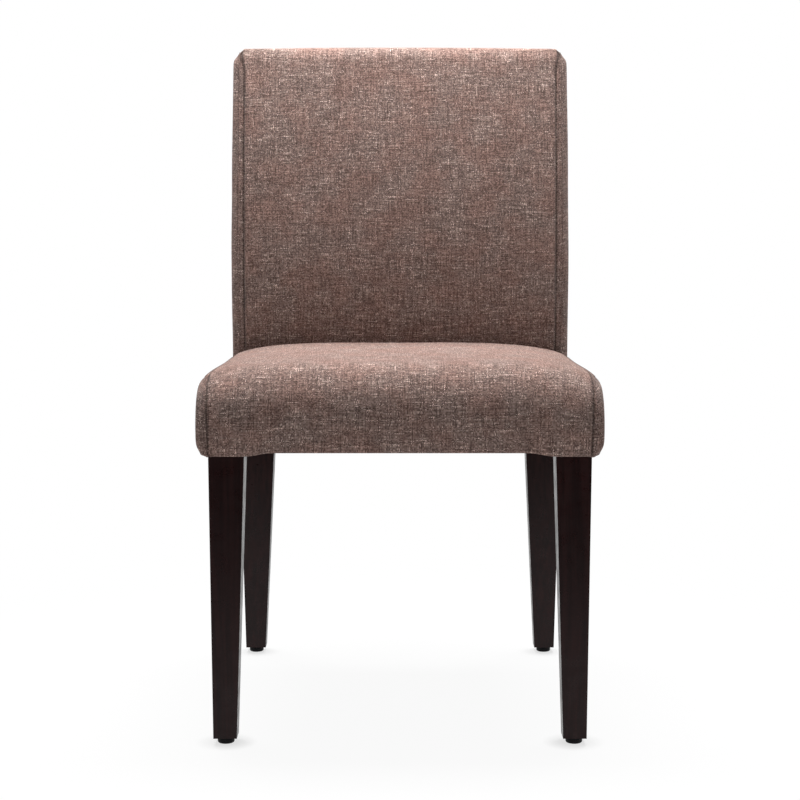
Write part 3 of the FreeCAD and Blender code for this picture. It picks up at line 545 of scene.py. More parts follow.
def gap_from(places: Array, lines: Sequence[Array]) -> Array:
    """Return each place's distance from the nearest point of some lines or grids."""
    gap = np.full(len(places), 1.0)
    for line in lines:
        for part in np.array_split(np.arange(len(places)), 24):
            apart = np.linalg.norm(places[part][:, None] - line.reshape(-1, 3)[None], axis=2).min(axis=1)
            gap[part] = np.minimum(gap[part], apart)
    return gap


def hold(points: Array, edges: Sequence[Array]) -> Array:
    """Return how firmly each point of a grid is held: 1 close to the held edges, 0 well away from them."""
    return 1.0 - smooth((gap_from(points.reshape(-1, 3), edges) - HOLD_NEAR) / HOLD_FADE)


def places_of(mesh: bpy.types.Mesh) -> Array:
    """Return the places of a mesh's points."""
    places = np.empty(len(mesh.vertices) * 3)
    mesh.vertices.foreach_get("co", places)
    return places.reshape(-1, 3)


@dataclass
class Panel:
    """One sewn panel of a cover: a grid of places, and how firmly each is held."""

    name: str
    points: Array
    held: Array
    inside: Place
    start: Spot
    seams: Sequence[Array]

    def cloth_places(self) -> Array:
        """Return each point's place on the flat cloth, in metres."""
        across = np.linalg.norm(np.diff(self.points, axis=1), axis=2)
        along = np.linalg.norm(np.diff(self.points, axis=0), axis=2)
        middle = self.points.shape[1] // 2
        u = np.pad(np.cumsum(across, axis=1), ((0, 0), (1, 0)))
        u -= u[:, middle:middle + 1]
        v = np.concatenate([[0.0], np.cumsum(along[:, middle])])
        return np.stack([u + self.start[0], np.broadcast_to(v[:, None], u.shape) + self.start[1]], axis=-1)

    def build(self) -> Piece:
        """Make the panel's mesh, its faces outward, with its UV map in metres of cloth."""
        rows, columns = self.points.shape[:2]
        mesh = bpy.data.meshes.new(self.name)
        index = np.arange(rows * columns).reshape(rows, columns)
        quads = np.stack([index[:-1, :-1], index[:-1, 1:], index[1:, 1:], index[1:, :-1]], axis=-1)
        quads = quads.reshape(-1, 4)
        flat = self.points.reshape(-1, 3)
        edges = flat[quads[:, 2]] - flat[quads[:, 0]], flat[quads[:, 3]] - flat[quads[:, 1]]
        away = flat[quads].mean(axis=1) - np.array(self.inside)
        if (np.cross(*edges) * away).sum() < 0:
            quads = quads[:, ::-1]
        mesh.from_pydata(flat.tolist(), [], quads.tolist())
        layer = mesh.uv_layers.new(name=UV_MAP)
        places = self.cloth_places().reshape(-1, 2)
        corner = np.empty(len(mesh.loops), dtype=np.int32)
        mesh.loops.foreach_get("vertex_index", corner)
        layer.data.foreach_set("uv", places[corner].ravel())
        # painted shade: 1 on the seams and fading within a couple of millimetres, for the material to darken
        # the cloth there
        ditch = mesh.attributes.new(PAINTED_SEAM_SHADE, "FLOAT", "POINT")
        ditch.data.foreach_set("value", np.exp(-((gap_from(flat, self.seams) / PAINTED_SEAM_SHADE_WIDTH) ** 2)))
        mesh.shade_smooth()
        return link(self.name, mesh, material_of(UPHOLSTERY))


@dataclass(frozen=True)
class Padding:
    """How the cloth is swelled over its padding by a short cloth simulation."""

    pressure: float = 4.0
    frames: int = 20
    mass: float = 0.004
    stiffness: float = 14.0
    bending: float = 0.4
    quality: int = 5
    most: float = 0.0028

    def swell(self, piece: Piece, held: Array) -> None:
        """Swell a panel between its seams and keep the result in its mesh.

        Args:
            piece: The panel.
            held: For each point, 1 where it is sewn or tacked and 0 where it is free.
        """
        group = piece.vertex_groups.new(name="held")
        for number, weight in enumerate(held.ravel()):
            group.add([number], float(weight), "REPLACE")
        cloth = piece.modifiers.new("swell", "CLOTH")
        looks = cloth.settings
        looks.quality = self.quality
        looks.mass = self.mass
        looks.tension_stiffness = self.stiffness
        looks.compression_stiffness = self.stiffness
        looks.shear_stiffness = self.stiffness / 3
        looks.bending_stiffness = self.bending
        looks.use_pressure = True
        looks.uniform_pressure_force = self.pressure
        looks.vertex_group_mass = group.name
        looks.effector_weights.gravity = 0.0
        cloth.collision_settings.use_collision = False
        cloth.point_cache.frame_start = 1
        cloth.point_cache.frame_end = self.frames
        scene = bpy.context.scene
        for number in range(1, self.frames + 1):
            scene.frame_set(number)
        shown = piece.evaluated_get(bpy.context.evaluated_depsgraph_get())
        before = places_of(piece.data)
        moved = places_of(shown.data) - before
        piece.modifiers.remove(cloth)
        scene.frame_set(1)
        far = np.linalg.norm(moved, axis=1, keepdims=True)
        moved *= self.most / (self.most + far)
        piece.data.vertices.foreach_set("co", (before + moved).ravel())
        piece.data.update()
        piece.vertex_groups.clear()
        LOG.info("%s swelled by up to %.2f mm", piece.name, 1000 * float(np.linalg.norm(moved, axis=1).max()))


def thicken(piece: Piece, thickness: float) -> None:
    """Give a piece's cloth a thickness inwards."""
    wall = piece.modifiers.new("cloth", "SOLIDIFY")
    wall.thickness = thickness
    wall.offset = -1.0


def make_panel(panel: Panel, *nodes: str) -> Piece:
    piece = panel.build()
    Padding().swell(piece, panel.held)
    rounder = piece.modifiers.new("round", "SUBSURF")
    rounder.levels = 1
    rounder.render_levels = 1
    thicken(piece, COVER_THICKNESS)
    finish_piece(piece, CHAIR, "upholstery", *nodes)
    return piece


@dataclass
class HemFold:
    """The lower edge of a cover, rounded and turned under to where it is tacked."""

    radius: float = 0.003
    depth: float = 0.02
    rise: float = 0.0046
    ramp: float = 0.036
    profile: tuple[Spot, ...] = ((0.10, 0.42), (0.30, 0.75), (0.62, 0.94), (1.0, 1.0))

    def arch(self, place: Array, low: float, high: float) -> Array:
        """Return how far the hem is lifted between two legs at places along it."""
        return self.rise * smooth((place - low) / self.ramp) * smooth((high - place) / self.ramp)

    def rows(self, edge: Array, inward: Array, room: Array) -> Array:
        """Return the rows of a hem below an edge, in order away from it.

        Args:
            edge: The edge's places, which stand one radius above the hem's underside.
            inward: The level direction in which the hem is turned under, for each place.
            room: How far under it may reach, for each place.

        Returns:
            Rows of places.
        """
        down = np.array([0.0, 0.0, -1.0])
        rows = []
        for share, drop in self.profile:
            reach = np.minimum(self.radius * share, room)
            rows.append(edge + inward * reach[:, None] + down * self.radius * drop)
        for share in (0.4, 0.7, 1.0):
            reach = np.minimum(self.radius + share * (self.depth - self.radius), room)
            rows.append(edge + inward * reach[:, None] + down * self.radius)
        return np.array(rows)


@dataclass
class BackFace:
    """The leaning front of the back in the side view, bowed forward about its middle."""

    level: float
    along: float
    rake: float = 90 / 563
    middle: float = 0.68
    bow_low: float = 0.46
    bow_high: float = 0.26
    crease: float = 0.49
    ease: float = 0.03

    def straight(self, level: Array) -> Array:
        """Return the Y of the unbowed face at a level."""
        return self.along + (level - self.level) * self.rake

    def at(self, level: Array) -> Array:
        """Return the bowed face's Y at a level; below the crease the bow runs out."""
        shown = np.maximum(level, self.crease)
        bow = np.where(shown < self.middle, self.bow_low, self.bow_high)
        recess = bow * (shown - self.middle) ** 2
        slope = 2 * self.bow_low * (self.middle - self.crease)
        hidden = np.maximum(self.crease - level, 0.0)
        return self.straight(level) + recess + slope * self.ease * (1.0 - np.exp(-hidden / self.ease))


@dataclass
class Cover:
    """What both covers share: panels laid out along one profile, with hems between the legs."""

    face: BackFace
    hem: HemFold
    hem_blend: float = 0.035
    leg_blend: float = 0.006
    side_swell: float = 0.09
    side_calm: float = 0.02
    stitch_lines: dict[Side, tuple[int, int, int]] = field(default_factory=dict)

    def arched(self, points: Array, inner: float) -> Array:
        """Lift a wide panel's lower rows between two legs, given their inner faces' X."""
        low = 1.0 - smooth((points[..., 2] - self.base) / self.hem_blend)
        points[..., 2] += low * self.hem.arch(points[0, :, 0], -inner, inner)[None, :]
        return points

    def by_leg(self, edge: Array, inner: float, room: float) -> Array:
        """Return how far a wide panel's hem may reach under, less where it meets a leg."""
        at_leg = smooth((np.abs(edge[:, 0]) - inner + self.leg_blend) / self.leg_blend)
        return self.hem.depth + (room - self.hem.depth) * at_leg

    def hemmed_side(self, side: Side, points: Array, gap: Array, inward: Array, room: Array,
                    swell: float) -> tuple[Array, Array, int]:
        """Turn a side panel's hem under and make the panel slightly uneven away from its seams.

        Args:
            side: The panel's side.
            points: Its grid, with the hem's edge as the first row.
            gap: Each point's distance from the seams.
            inward: The level direction in which the hem is turned under, for each place of the edge.
            room: How far under it may reach, for each place of the edge.
            swell: How high the unevenness is.

        Returns:
            The grid with the hem's rows first, how firmly it is held, and the number of the hem's rows.
        """
        under = self.hem.rows(points[0], inward, room)
        points[..., 0] += side.value * uneven(points, self.side_swell, swell) * smooth(gap / self.side_calm)
        points = np.concatenate([under[::-1], points])
        held = hold(points, [points[:len(under) + 1], points[:, 0], points[:, -1], points[-1]])
        return points, held, len(under)

    def side_panel(self, side: Side) -> Panel:
        """Lay out one side panel."""
        raise NotImplementedError

    def sew(self, word: str, wide: dict[tuple[str, ...], Panel]) -> dict[str, Piece]:
        """Make the wide panels, given by the nodes they stand for, and the sides; return them by name."""
        pieces = [make_panel(panel, *nodes) for nodes, panel in wide.items()]
        for side in Side:
            name = f"{word}_{side.word}"
            pieces.append(make_panel(self.side_panel(side), f"{name}_cover", f"{name}_wadding"))
        return {piece.name: piece for piece in pieces}


@dataclass
class SeatCover(Cover):
    """The seat's cover: one panel over the top and down the front, and two side panels."""

    roll_in: float = 0.075
    roll_down: float = 0.084
    front_level: float = 0.4945
    dome_start: float = 0.0
    dome_power: float = 2.1
    corner_bend: float = 58.0
    seam: float = 0.2480
    seam_foot: float = 0.2450
    shoulder: float = 0.0025
    shoulder_start: float = 0.214
    crown_drop: float = 0.0134
    crown_half: float = 0.24
    crown_power: float = 4.5
    crown_front: float = 0.74
    crown_run: float = 0.72
    hem_sag: float = 0.0008
    front_room: float = 0.0105
    side_room: float = 0.0055
    side_blend: float = 0.008
    corner_gap: float = 0.004
    corner_turn: float = 0.7
    corner_keep: float = 0.3
    side_half: float = 0.2627
    side_round: float = 0.017
    side_power: float = 2.2
    rear_round: float = 0.011
    into_back: float = 0.02
    ridge: float = 0.0007
    ridge_gap: float = 0.0034
    ridge_width: float = 0.0018
    hem_draw: float = 0.0058
    hem_height: float = 0.019
    tuck: float = 0.012
    tuck_depth: float = 0.045
    tuck_lean: float = 0.003
    dip: float = 0.0014
    top_swell: float = 0.11
    swell: float = 0.0007

    def __post_init__(self) -> None:
        """Read the seat's main places from the frame and lay out its profile."""
        low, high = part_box("seat_top_cover")
        self.front = low.y
        self.base = low.z - self.hem_sag
        self.crown = high.z
        self.leg = outline_at("front_right_leg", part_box("front_right_leg")[1].z)
        self.crease = float(self.face.at(self.crown))
        self.inside = (0.0, -0.05, self.base + 0.03)
        self.profile = self.lay_profile()

    def lay_profile(self) -> Path:
        """Return the middle of the seat in the side view, from the front hem to behind the crease."""
        roll_centre = (self.front + self.roll_in, self.front_level - self.roll_down)
        places = [(self.front, self.base + self.hem.radius)]
        reach = self.dome_start - roll_centre[0]
        drop = self.crown - self.front_level
        slope = math.degrees(math.atan(self.dome_power * drop / reach * self.roll_in / self.roll_down))
        places += arc(roll_centre, (self.roll_in, self.roll_down), 180, 90 + slope)
        turn = self.crease - self.tuck
        for along in np.linspace(roll_centre[0], turn, 44)[1:]:
            share = max(0.0, (self.dome_start - along) / reach)
            places.append((along, self.crown - drop * share ** self.dome_power))
        places += arc((turn, self.crown - self.tuck), (self.tuck, self.tuck), 84, 0, 8)
        places.append((self.crease + self.tuck_lean, self.crown - self.tuck_depth))
        path = Path(places)
        bend = math.radians(self.corner_bend)
        self.corner_run = path.reach((roll_centre[0] - self.roll_in * math.cos(bend),
                                      roll_centre[1] + self.roll_down * math.sin(bend)))
        self.roll_run = path.reach((roll_centre[0], self.front_level))
        self.crease_run = path.reach((turn, self.crown))
        return path

    def seam_half(self, run: Array) -> Array:
        """Return the seam's distance from the middle along the profile."""
        return self.seam_foot + (self.seam - self.seam_foot) * smooth(run / self.corner_run)

    def section(self, run: Array, share: Array) -> Array:
        """Return places on the top panel.

        Args:
            run: Lengths along the profile, one for each row.
            share: Places across from -1 to 1 at the seams, one for each column.

        Returns:
            A grid of places.
        """
        half = self.seam_half(run)[:, None]
        x = share[None, :] * half
        out = np.clip((np.abs(x) - self.shoulder_start) / (self.seam - self.shoulder_start), 0, 1)
        edge = self.shoulder * out ** 2 + seam_dip(half - np.abs(x), self.dip)
        rear = smooth((run - self.roll_run) / (self.crown_run * (self.crease_run - self.roll_run)))[:, None]
        rear = rear + self.crown_front * (1.0 - rear) * smooth(run / self.roll_run)[:, None]
        drop = self.crown_drop * (np.abs(x) / self.crown_half) ** self.crown_power * rear
        place = self.profile.at(run)[:, None, :] - self.profile.outward(run)[:, None, :] * edge[..., None]
        points = np.stack([x, place[..., 0], place[..., 1] - drop], axis=-1)
        return self.arched(points, self.leg[0])

    def run_rows(self) -> tuple[Array, Array, Array]:
        """Return lengths along the profile for the front, the top and the tuck."""
        front = rows_between(0.0, self.corner_run, False, True)
        top = rows_between(self.corner_run, self.crease_run, True, False)
        tuck = np.linspace(self.crease_run, self.profile.run[-1], 9)[1:]
        return front, top, tuck

    def top_panel(self) -> Panel:
        """Lay out the panel over the top and down the front."""
        front, top, tuck = self.run_rows()
        body = self.section(np.concatenate([front, top[1:], tuck]), columns_between(self.seam))
        edge = body[0]
        inner, outer = self.leg[:2]
        corner = smooth((np.abs(edge[:, 0]) - outer + self.corner_gap) / self.leg_blend)
        inward = np.stack([-self.corner_turn * corner * np.sign(edge[:, 0]), 1.0 - self.corner_keep * corner,
                           np.zeros(len(edge))], axis=-1)
        under = self.hem.rows(edge, inward, self.by_leg(edge, inner, self.front_room))
        body[..., 2] += uneven(body, self.top_swell, self.swell)
        points = np.concatenate([under[::-1], body])
        held = hold(points, [points[:len(under) + 1], points[:, 0], points[:, -1], points[-len(tuck):]])
        return Panel("seat_top_panel", points, held, self.inside, (0.0, 0.0), [points[:, 0], points[:, -1]])

    def side_panel(self, side: Side) -> Panel:
        """Lay out one side panel between the seam, the hem and the back."""
        front, top, _ = self.run_rows()
        edge_column = -1 if side is Side.RIGHT else 0
        across = columns_between(self.seam)
        front_seam, top_seam = (self.section(run, across)[:, edge_column] for run in (front, top))
        left, upper = front_seam[:, 1:], top_seam[:, 1:]
        share = (left[:, 1] - left[0, 1]) / (left[-1, 1] - left[0, 1])
        level = left[0, 1] + share * (upper[-1, 1] - left[0, 1])
        rear = np.stack([self.face.at(level) + self.into_back, level], axis=-1)
        upper = np.concatenate([upper[:-1], [rear[-1]]])
        run = (upper[:, 0] - upper[0, 0]) / (upper[-1, 0] - upper[0, 0])
        foot = np.stack([left[0, 0] + run * (rear[0, 0] - left[0, 0]),
                         np.full(len(upper), left[0, 1])], axis=-1)
        grid = coons(left, rear, foot, upper)
        gap, index = nearest(grid, np.concatenate([left, upper[1:], rear[::-1]]))
        reach = np.where(index < len(left) + len(upper) - 1, self.side_round, self.rear_round)
        share = np.clip(gap / reach, 0.0, 1.0)
        seam_x = np.concatenate([np.abs(front_seam[:, 0]), np.abs(top_seam[1:, 0]),
                                 np.full(len(rear), self.seam)])
        half = seam_x[index] + (self.side_half - seam_x[index]) * (1.0 - (1.0 - share) ** self.side_power)
        half += self.ridge * np.exp(-(((gap - self.ridge_gap) / self.ridge_width) ** 2))
        height = grid[..., 1] - grid[0, 0, 1]
        low = np.clip(1.0 - height / self.hem_height, 0.0, 1.0)
        half -= self.hem_draw * (1.0 - np.sqrt(1.0 - low ** 2)) * smooth(share * 1.6)
        points = np.stack([side.value * half, grid[..., 0], grid[..., 1]], axis=-1)
        leg_rear = self.leg[3]
        lift = self.hem.arch(points[..., 1], leg_rear, self.crease - self.into_back)
        points[..., 2] += lift * (1.0 - smooth(height / self.hem_blend))
        points[0, :, 2] = np.maximum(points[0, :, 2], self.base + self.hem.radius)
        edge = points[0]
        at_leg = 1.0 - smooth((edge[:, 1] - leg_rear) / self.side_blend)
        room = self.hem.depth + (self.side_room - self.hem.depth) * at_leg
        corner = 1.0 - smooth((edge[:, 1] - edge[0, 1]) / self.leg_blend)
        inward = np.stack([-side.value * (1.0 - self.corner_keep * corner), self.corner_turn * corner,
                           np.zeros(len(edge))], axis=-1)
        points, held, rows = self.hemmed_side(side, points, gap, inward, room, self.swell)
        self.stitch_lines[side] = (rows, len(front), 2)
        return Panel(f"seat_{side.word}_panel", points, held, self.inside, (1.0 + side.value * 0.3, 0.9),
                     [points[:, 0], points[-1]])

    def make(self) -> dict[str, Piece]:
        """Make the three panels and return them by name."""
        return self.sew("seat", {("seat_top_cover", "seat_foam", "seat_front_wadding"): self.top_panel()})


@dataclass
class BackCover(Cover):
    """The back's cover: one panel up the front and over the top, the outside panel and two side panels."""

    seam_foot: float = 0.2350
    seam_head: float = 0.2385
    seam_flare: float = 0.004
    flare_start: float = 0.94
    depth_foot: float = 0.082
    depth_taper: float = 18 / 563
    roll_up: float = 0.055
    roll_front: float = 0.018
    roll_rear: float = 0.014
    roll_rear_up: float = 0.02
    corner_bend: float = 59.0
    crown: float = 0.006
    crown_power: float = 2.4
    top_crown: float = 0.0022
    top_rise: float = 0.001
    side_proud: float = 0.0013
    side_power: float = 2.5
    round_front: float = 0.02
    round_top: float = 0.025
    round_rear: float = 0.012
    round_blend: int = 15
    waist: float = 0.002
    waist_height: float = 0.28
    ridge: float = 0.0009
    ridge_gap: float = 0.003
    ridge_width: float = 0.0017
    ridge_fade: float = 0.015
    furrow: float = 0.0005
    furrow_gap: float = 0.0066
    furrow_width: float = 0.0012
    rim: float = 0.005
    dip: float = 0.0034
    tuck_level: float = 0.452
    rear_room: float = 0.006
    side_room: float = 0.0055
    wide_swell: float = 0.12
    seam_calm: float = 0.03
    front_swell: float = -0.0009
    rear_swell: float = 0.0007
    swell: float = 0.0006
    inside: Place = (0.0, 0.2, 0.65)

    def __post_init__(self) -> None:
        """Read the back's main places from the frame and lay out its profile."""
        low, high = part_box("back_right_cover")
        self.base = low.z
        self.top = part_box("back_front_cover")[1].z + self.top_rise
        self.half = high.x + self.side_proud
        self.leg_inner = outline_at("rear_right_leg", self.base)[0]
        self.profile = self.lay_profile()

    def rear_at(self, level: float) -> float:
        """Return the rear face's Y at a level."""
        return float(self.face.straight(level)) + self.depth_foot - (level - self.base) * self.depth_taper

    def lay_profile(self) -> Path:
        """Return the back in the side view, from the front at the hem over the top to the rear hem."""
        foot = self.base + self.hem.radius
        shoulder = self.top - self.roll_up
        rear_level = self.top - self.roll_rear_up
        rear_shoulder = self.rear_at(rear_level)
        rise = 0.01
        upper = self.top - 2 * rise
        lean = (float(self.face.at(upper)) - float(self.face.at(upper - rise))) / rise
        turn = math.atan(lean * self.roll_up / self.roll_front)
        face_end = shoulder + self.roll_up * math.sin(turn)
        front_shoulder = float(self.face.at(face_end)) - self.roll_front * (1.0 - math.cos(turn))
        places = [(float(self.face.at(level)), level) for level in np.linspace(foot, face_end, 48)[:-1]]
        places += arc((front_shoulder + self.roll_front, shoulder), (self.roll_front, self.roll_up),
                      180 - math.degrees(turn), 90)
        rear_centre = (rear_shoulder - self.roll_rear, rear_level)
        places += arc(rear_centre, (self.roll_rear, self.roll_rear_up), 90, 0)
        places.append((self.rear_at(foot), foot))
        path = Path(places)
        bend = math.radians(self.corner_bend)
        self.front_run = path.reach((front_shoulder + self.roll_front * (1 - math.cos(bend)),
                                     shoulder + self.roll_up * math.sin(bend)))
        self.rear_run = path.reach((rear_shoulder - self.roll_rear * (1 - math.cos(bend)),
                                    rear_level + self.roll_rear_up * math.sin(bend)))
        return path

    def seam_half(self, run: Array) -> Array:
        """Return the side seams' distance from the middle along the profile, widest over the top."""
        end = self.profile.run[-1]
        share = np.clip(np.minimum(run / self.front_run, (end - run) / (end - self.rear_run)), 0.0, 1.0)
        flare = self.seam_flare * smooth((share - self.flare_start) / (1.0 - self.flare_start))
        return self.seam_foot + (self.seam_head - self.seam_foot) * share + flare

    def section(self, run: Array, share: Array) -> Array:
        """Return places across the back for rows along the profile and columns from -1 to 1."""
        half = self.seam_half(run)[:, None]
        x = share[None, :] * half
        facing = self.profile.outward(run)
        forward = smooth(-facing[:, 0] * 1.2)
        depth = self.top_crown + (self.crown - self.top_crown) * forward
        edge = depth[:, None] * (np.abs(x) / half) ** self.crown_power + seam_dip(half - np.abs(x), self.dip)
        place = self.profile.at(run)[:, None, :] - facing[:, None, :] * edge[..., None]
        return self.arched(np.stack([x, place[..., 0], place[..., 1]], axis=-1), self.leg_inner)

    def run_rows(self) -> tuple[Array, Array, Array]:
        """Return lengths along the profile for the front, the top and the rear."""
        front = rows_between(0.0, self.front_run, False, True)
        top = rows_between(self.front_run, self.rear_run, True, True)
        share = (front[-1] - front[::-1]) / front[-1]
        return front, top, self.rear_run + share * (self.profile.run[-1] - self.rear_run)

    def drawn_in(self, run: Array) -> Array:
        """Return how the closing seam draws each row in, ready to be spread over its columns."""
        drop = self.profile.outward(run) * seam_dip(np.abs(run - self.rear_run), self.dip)[:, None]
        return np.pad(drop, ((0, 0), (1, 0)))[:, None, :]

    def wide_panel(self, run: Array, swell: float) -> Array:
        """Return the grid of a panel from side to side, slightly uneven between its seams."""
        points = self.section(run, columns_between(self.seam_head)) - self.drawn_in(run)
        between = smooth((self.seam_foot - np.abs(points[..., 0])) / self.seam_calm)
        points[..., 1] += uneven(points, self.wide_swell, swell) * between
        return points

    def front_panel(self) -> Panel:
        """Lay out the panel up the front and over the top to the closing seam."""
        front, top, _ = self.run_rows()
        shown = front[self.profile.at(front)[:, 1] > self.tuck_level]
        points = self.wide_panel(np.concatenate([shown, top[1:]]), self.front_swell)
        seams = [points[:, 0], points[:, -1], points[-1]]
        held = hold(points, [points[0], *seams])
        return Panel("back_front_panel", points, held, self.inside, (0.0, 2.0), seams)

    def outside_panel(self) -> Panel:
        """Lay out the panel down the outside of the back to its hem."""
        points = self.wide_panel(self.run_rows()[2], self.rear_swell)
        edge = points[-1]
        inward = np.tile([0.0, -1.0, 0.0], (len(edge), 1))
        under = self.hem.rows(edge, inward, self.by_leg(edge, self.leg_inner, self.rear_room))
        points = np.concatenate([points, under])
        seams = [points[0], points[:, 0], points[:, -1]]
        held = hold(points, [points[-len(under) - 1:], *seams])
        return Panel("back_outside_panel", points, held, self.inside, (0.0, 3.2), seams)

    def side_panel(self, side: Side) -> Panel:
        """Lay out one side panel between the front seam, the top and the outside seam."""
        runs = self.run_rows()
        seams = [self.section(run, np.array([float(side.value)]))[:, 0] for run in runs]
        left, upper, right = seams[0][:, 1:], seams[1][:, 1:], seams[2][::-1, 1:]
        share = (upper[:, 0] - upper[0, 0]) / (upper[-1, 0] - upper[0, 0])
        grid = coons(left, right, left[0] + share[:, None] * (right[0] - left[0]), upper)
        seam = joined(seams)
        gap, index = nearest(grid, seam[:, 1:])
        rounds = joined([np.full(len(line), size) for line, size in
                         zip(seams, (self.round_front, self.round_top, self.round_rear))])
        rounds = np.pad(rounds, self.round_blend // 2, mode="edge")
        rounds = np.convolve(rounds, np.ones(self.round_blend) / self.round_blend, mode="valid")
        share = np.clip(gap / rounds[index], 0.0, 1.0)
        seam_x = np.abs(seam[:, 0])[index]
        half = seam_x + (self.half - seam_x) * (1.0 - (1.0 - share) ** self.side_power)
        half -= self.waist * (1.0 - smooth((grid[..., 1] - self.base) / self.waist_height)) * smooth(share)
        sunk = joined([self.drawn_in(run)[:, 0, 1:] for run in runs])[index]
        grid = grid - sunk * (1.0 - smooth(gap / self.rim))[..., None]
        points = np.stack([side.value * half, grid[..., 0], grid[..., 1]], axis=-1)
        away = np.stack([points[..., 0] - side.value * (self.seam_foot - self.seam_calm),
                         grid[..., 0] - 0.5 * (left[:, :1] + right[:, :1])], axis=-1)
        away /= np.linalg.norm(away, axis=-1, keepdims=True)
        raised = self.ridge * np.exp(-(((gap - self.ridge_gap) / self.ridge_width) ** 2))
        raised -= self.furrow * np.exp(-(((gap - self.furrow_gap) / self.furrow_width) ** 2))
        raised *= smooth((grid[..., 1] - grid[0, 0, 1]) / self.ridge_fade)
        points[..., :2] += away * raised[..., None]
        count = points.shape[1]
        inward = np.tile([-float(side.value), 0.0, 0.0], (count, 1))
        room = np.full(count, self.side_room)
        points, held, rows = self.hemmed_side(side, points, gap, inward, room, self.swell)
        self.stitch_lines[side] = (rows, len(left), 3)
        return Panel(f"back_{side.word}_panel", points, held, self.inside, (4.0 + side.value * 0.3, 0.4),
                     [points[:, 0], points[:, -1], points[-1]])

    def make(self) -> dict[str, Piece]:
        """Make the four panels and return them by name."""
        return self.sew("back", {("back_front_cover", "back_foam"): self.front_panel(),
                                 ("back_outside_cover", "back_rear_wadding"): self.outside_panel()})


def circle(centre: Vector, reaches: Sequence[float], level: float) -> list[Place]:
    """Return a ring of places about an upright axis, each at its own reach from it."""
    turns = [2 * math.pi * number / len(reaches) for number in range(len(reaches))]
    return [(centre.x + reach * math.cos(turn), centre.y + reach * math.sin(turn), level)
            for reach, turn in zip(reaches, turns)]


def lofted(name: str, rings: Sequence[Sequence[Place]], smooth_angle: float = 0.0,
           ease: float = 0.0) -> bpy.types.Mesh:
    """Make a closed mesh through rings of places, from the lowest up.

    Args:
        name: The mesh's name.
        rings: Rings with as many places each, in the same order.
        smooth_angle: Edges bent by less than this, in degrees, are shaded smooth; none are at 0.
        ease: How far the sharp edges are rounded.

    Returns:
        The mesh.
    """
    shape = bmesh.new()
    rows = [[shape.verts.new(place) for place in ring] for ring in rings]
    shape.faces.new(reversed(rows[0]))
    shape.faces.new(rows[-1])
    for lower, upper in zip(rows, rows[1:]):
        for number in range(len(lower)):
            shape.faces.new((lower[number - 1], lower[number], upper[number], upper[number - 1]))
    if ease > 0.0:
        sharp = [edge for edge in shape.edges if edge.calc_face_angle(0.0) > SHARP_EDGE]
        bmesh.ops.bevel(shape, geom=sharp, offset=ease, segments=3, profile=0.5, affect="EDGES",
                        clamp_overlap=True)
    bmesh.ops.recalc_face_normals(shape, faces=shape.faces)
    mesh = bpy.data.meshes.new(name)
    shape.to_mesh(mesh)
    shape.free()
    if smooth_angle > 0.0:
        mesh.shade_smooth()
        mesh.set_sharp_from_angle(angle=math.radians(smooth_angle))
    return mesh


@dataclass
class Legs:
    """The four lacquered legs, their edges eased and the front ones cut back under the padding."""

    ease: float = 0.0009
    end_lift: float = 0.0001
    top_cut: float = 0.016
    chamfer: float = 0.002
    smooth_angle: float = 35.0

    def make_leg(self, end: End, side: Side) -> None:
        """Make one leg from its corners in the frame."""
        node = f"{end.value}_{side.word}_leg"
        low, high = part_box(node)
        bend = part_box("back_right_cover")[0].z
        heights = [v.co.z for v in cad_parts[node].data.vertices]
        above_chamfer = min(height for height in heights if height > low.z + self.chamfer)
        levels = [(above_chamfer, low.z + self.end_lift, 0.0), (bend, bend, 0.0)]
        if end is End.FRONT:
            levels += [(high.z, high.z - self.top_cut, 0.0), (high.z, high.z, self.top_cut)]
        else:
            levels.append((high.z, high.z, 0.0))
        rings = []
        for level, height, cut in levels:
            x0, x1, y0, y1 = outline_at(node, level)
            y0 += cut
            rings.append([(x0, y0, height), (x1, y0, height), (x1, y1, height), (x0, y1, height)])
        name = f"{node}_wood"
        piece = link(name, lofted(name, rings, self.smooth_angle, self.ease), material_of(LACQUERED_WOOD))
        finish_piece(piece, CHAIR, "stained_wood", node)

    def make(self) -> None:
        """Make the four legs."""
        for end in End:
            for side in Side:
                self.make_leg(end, side)


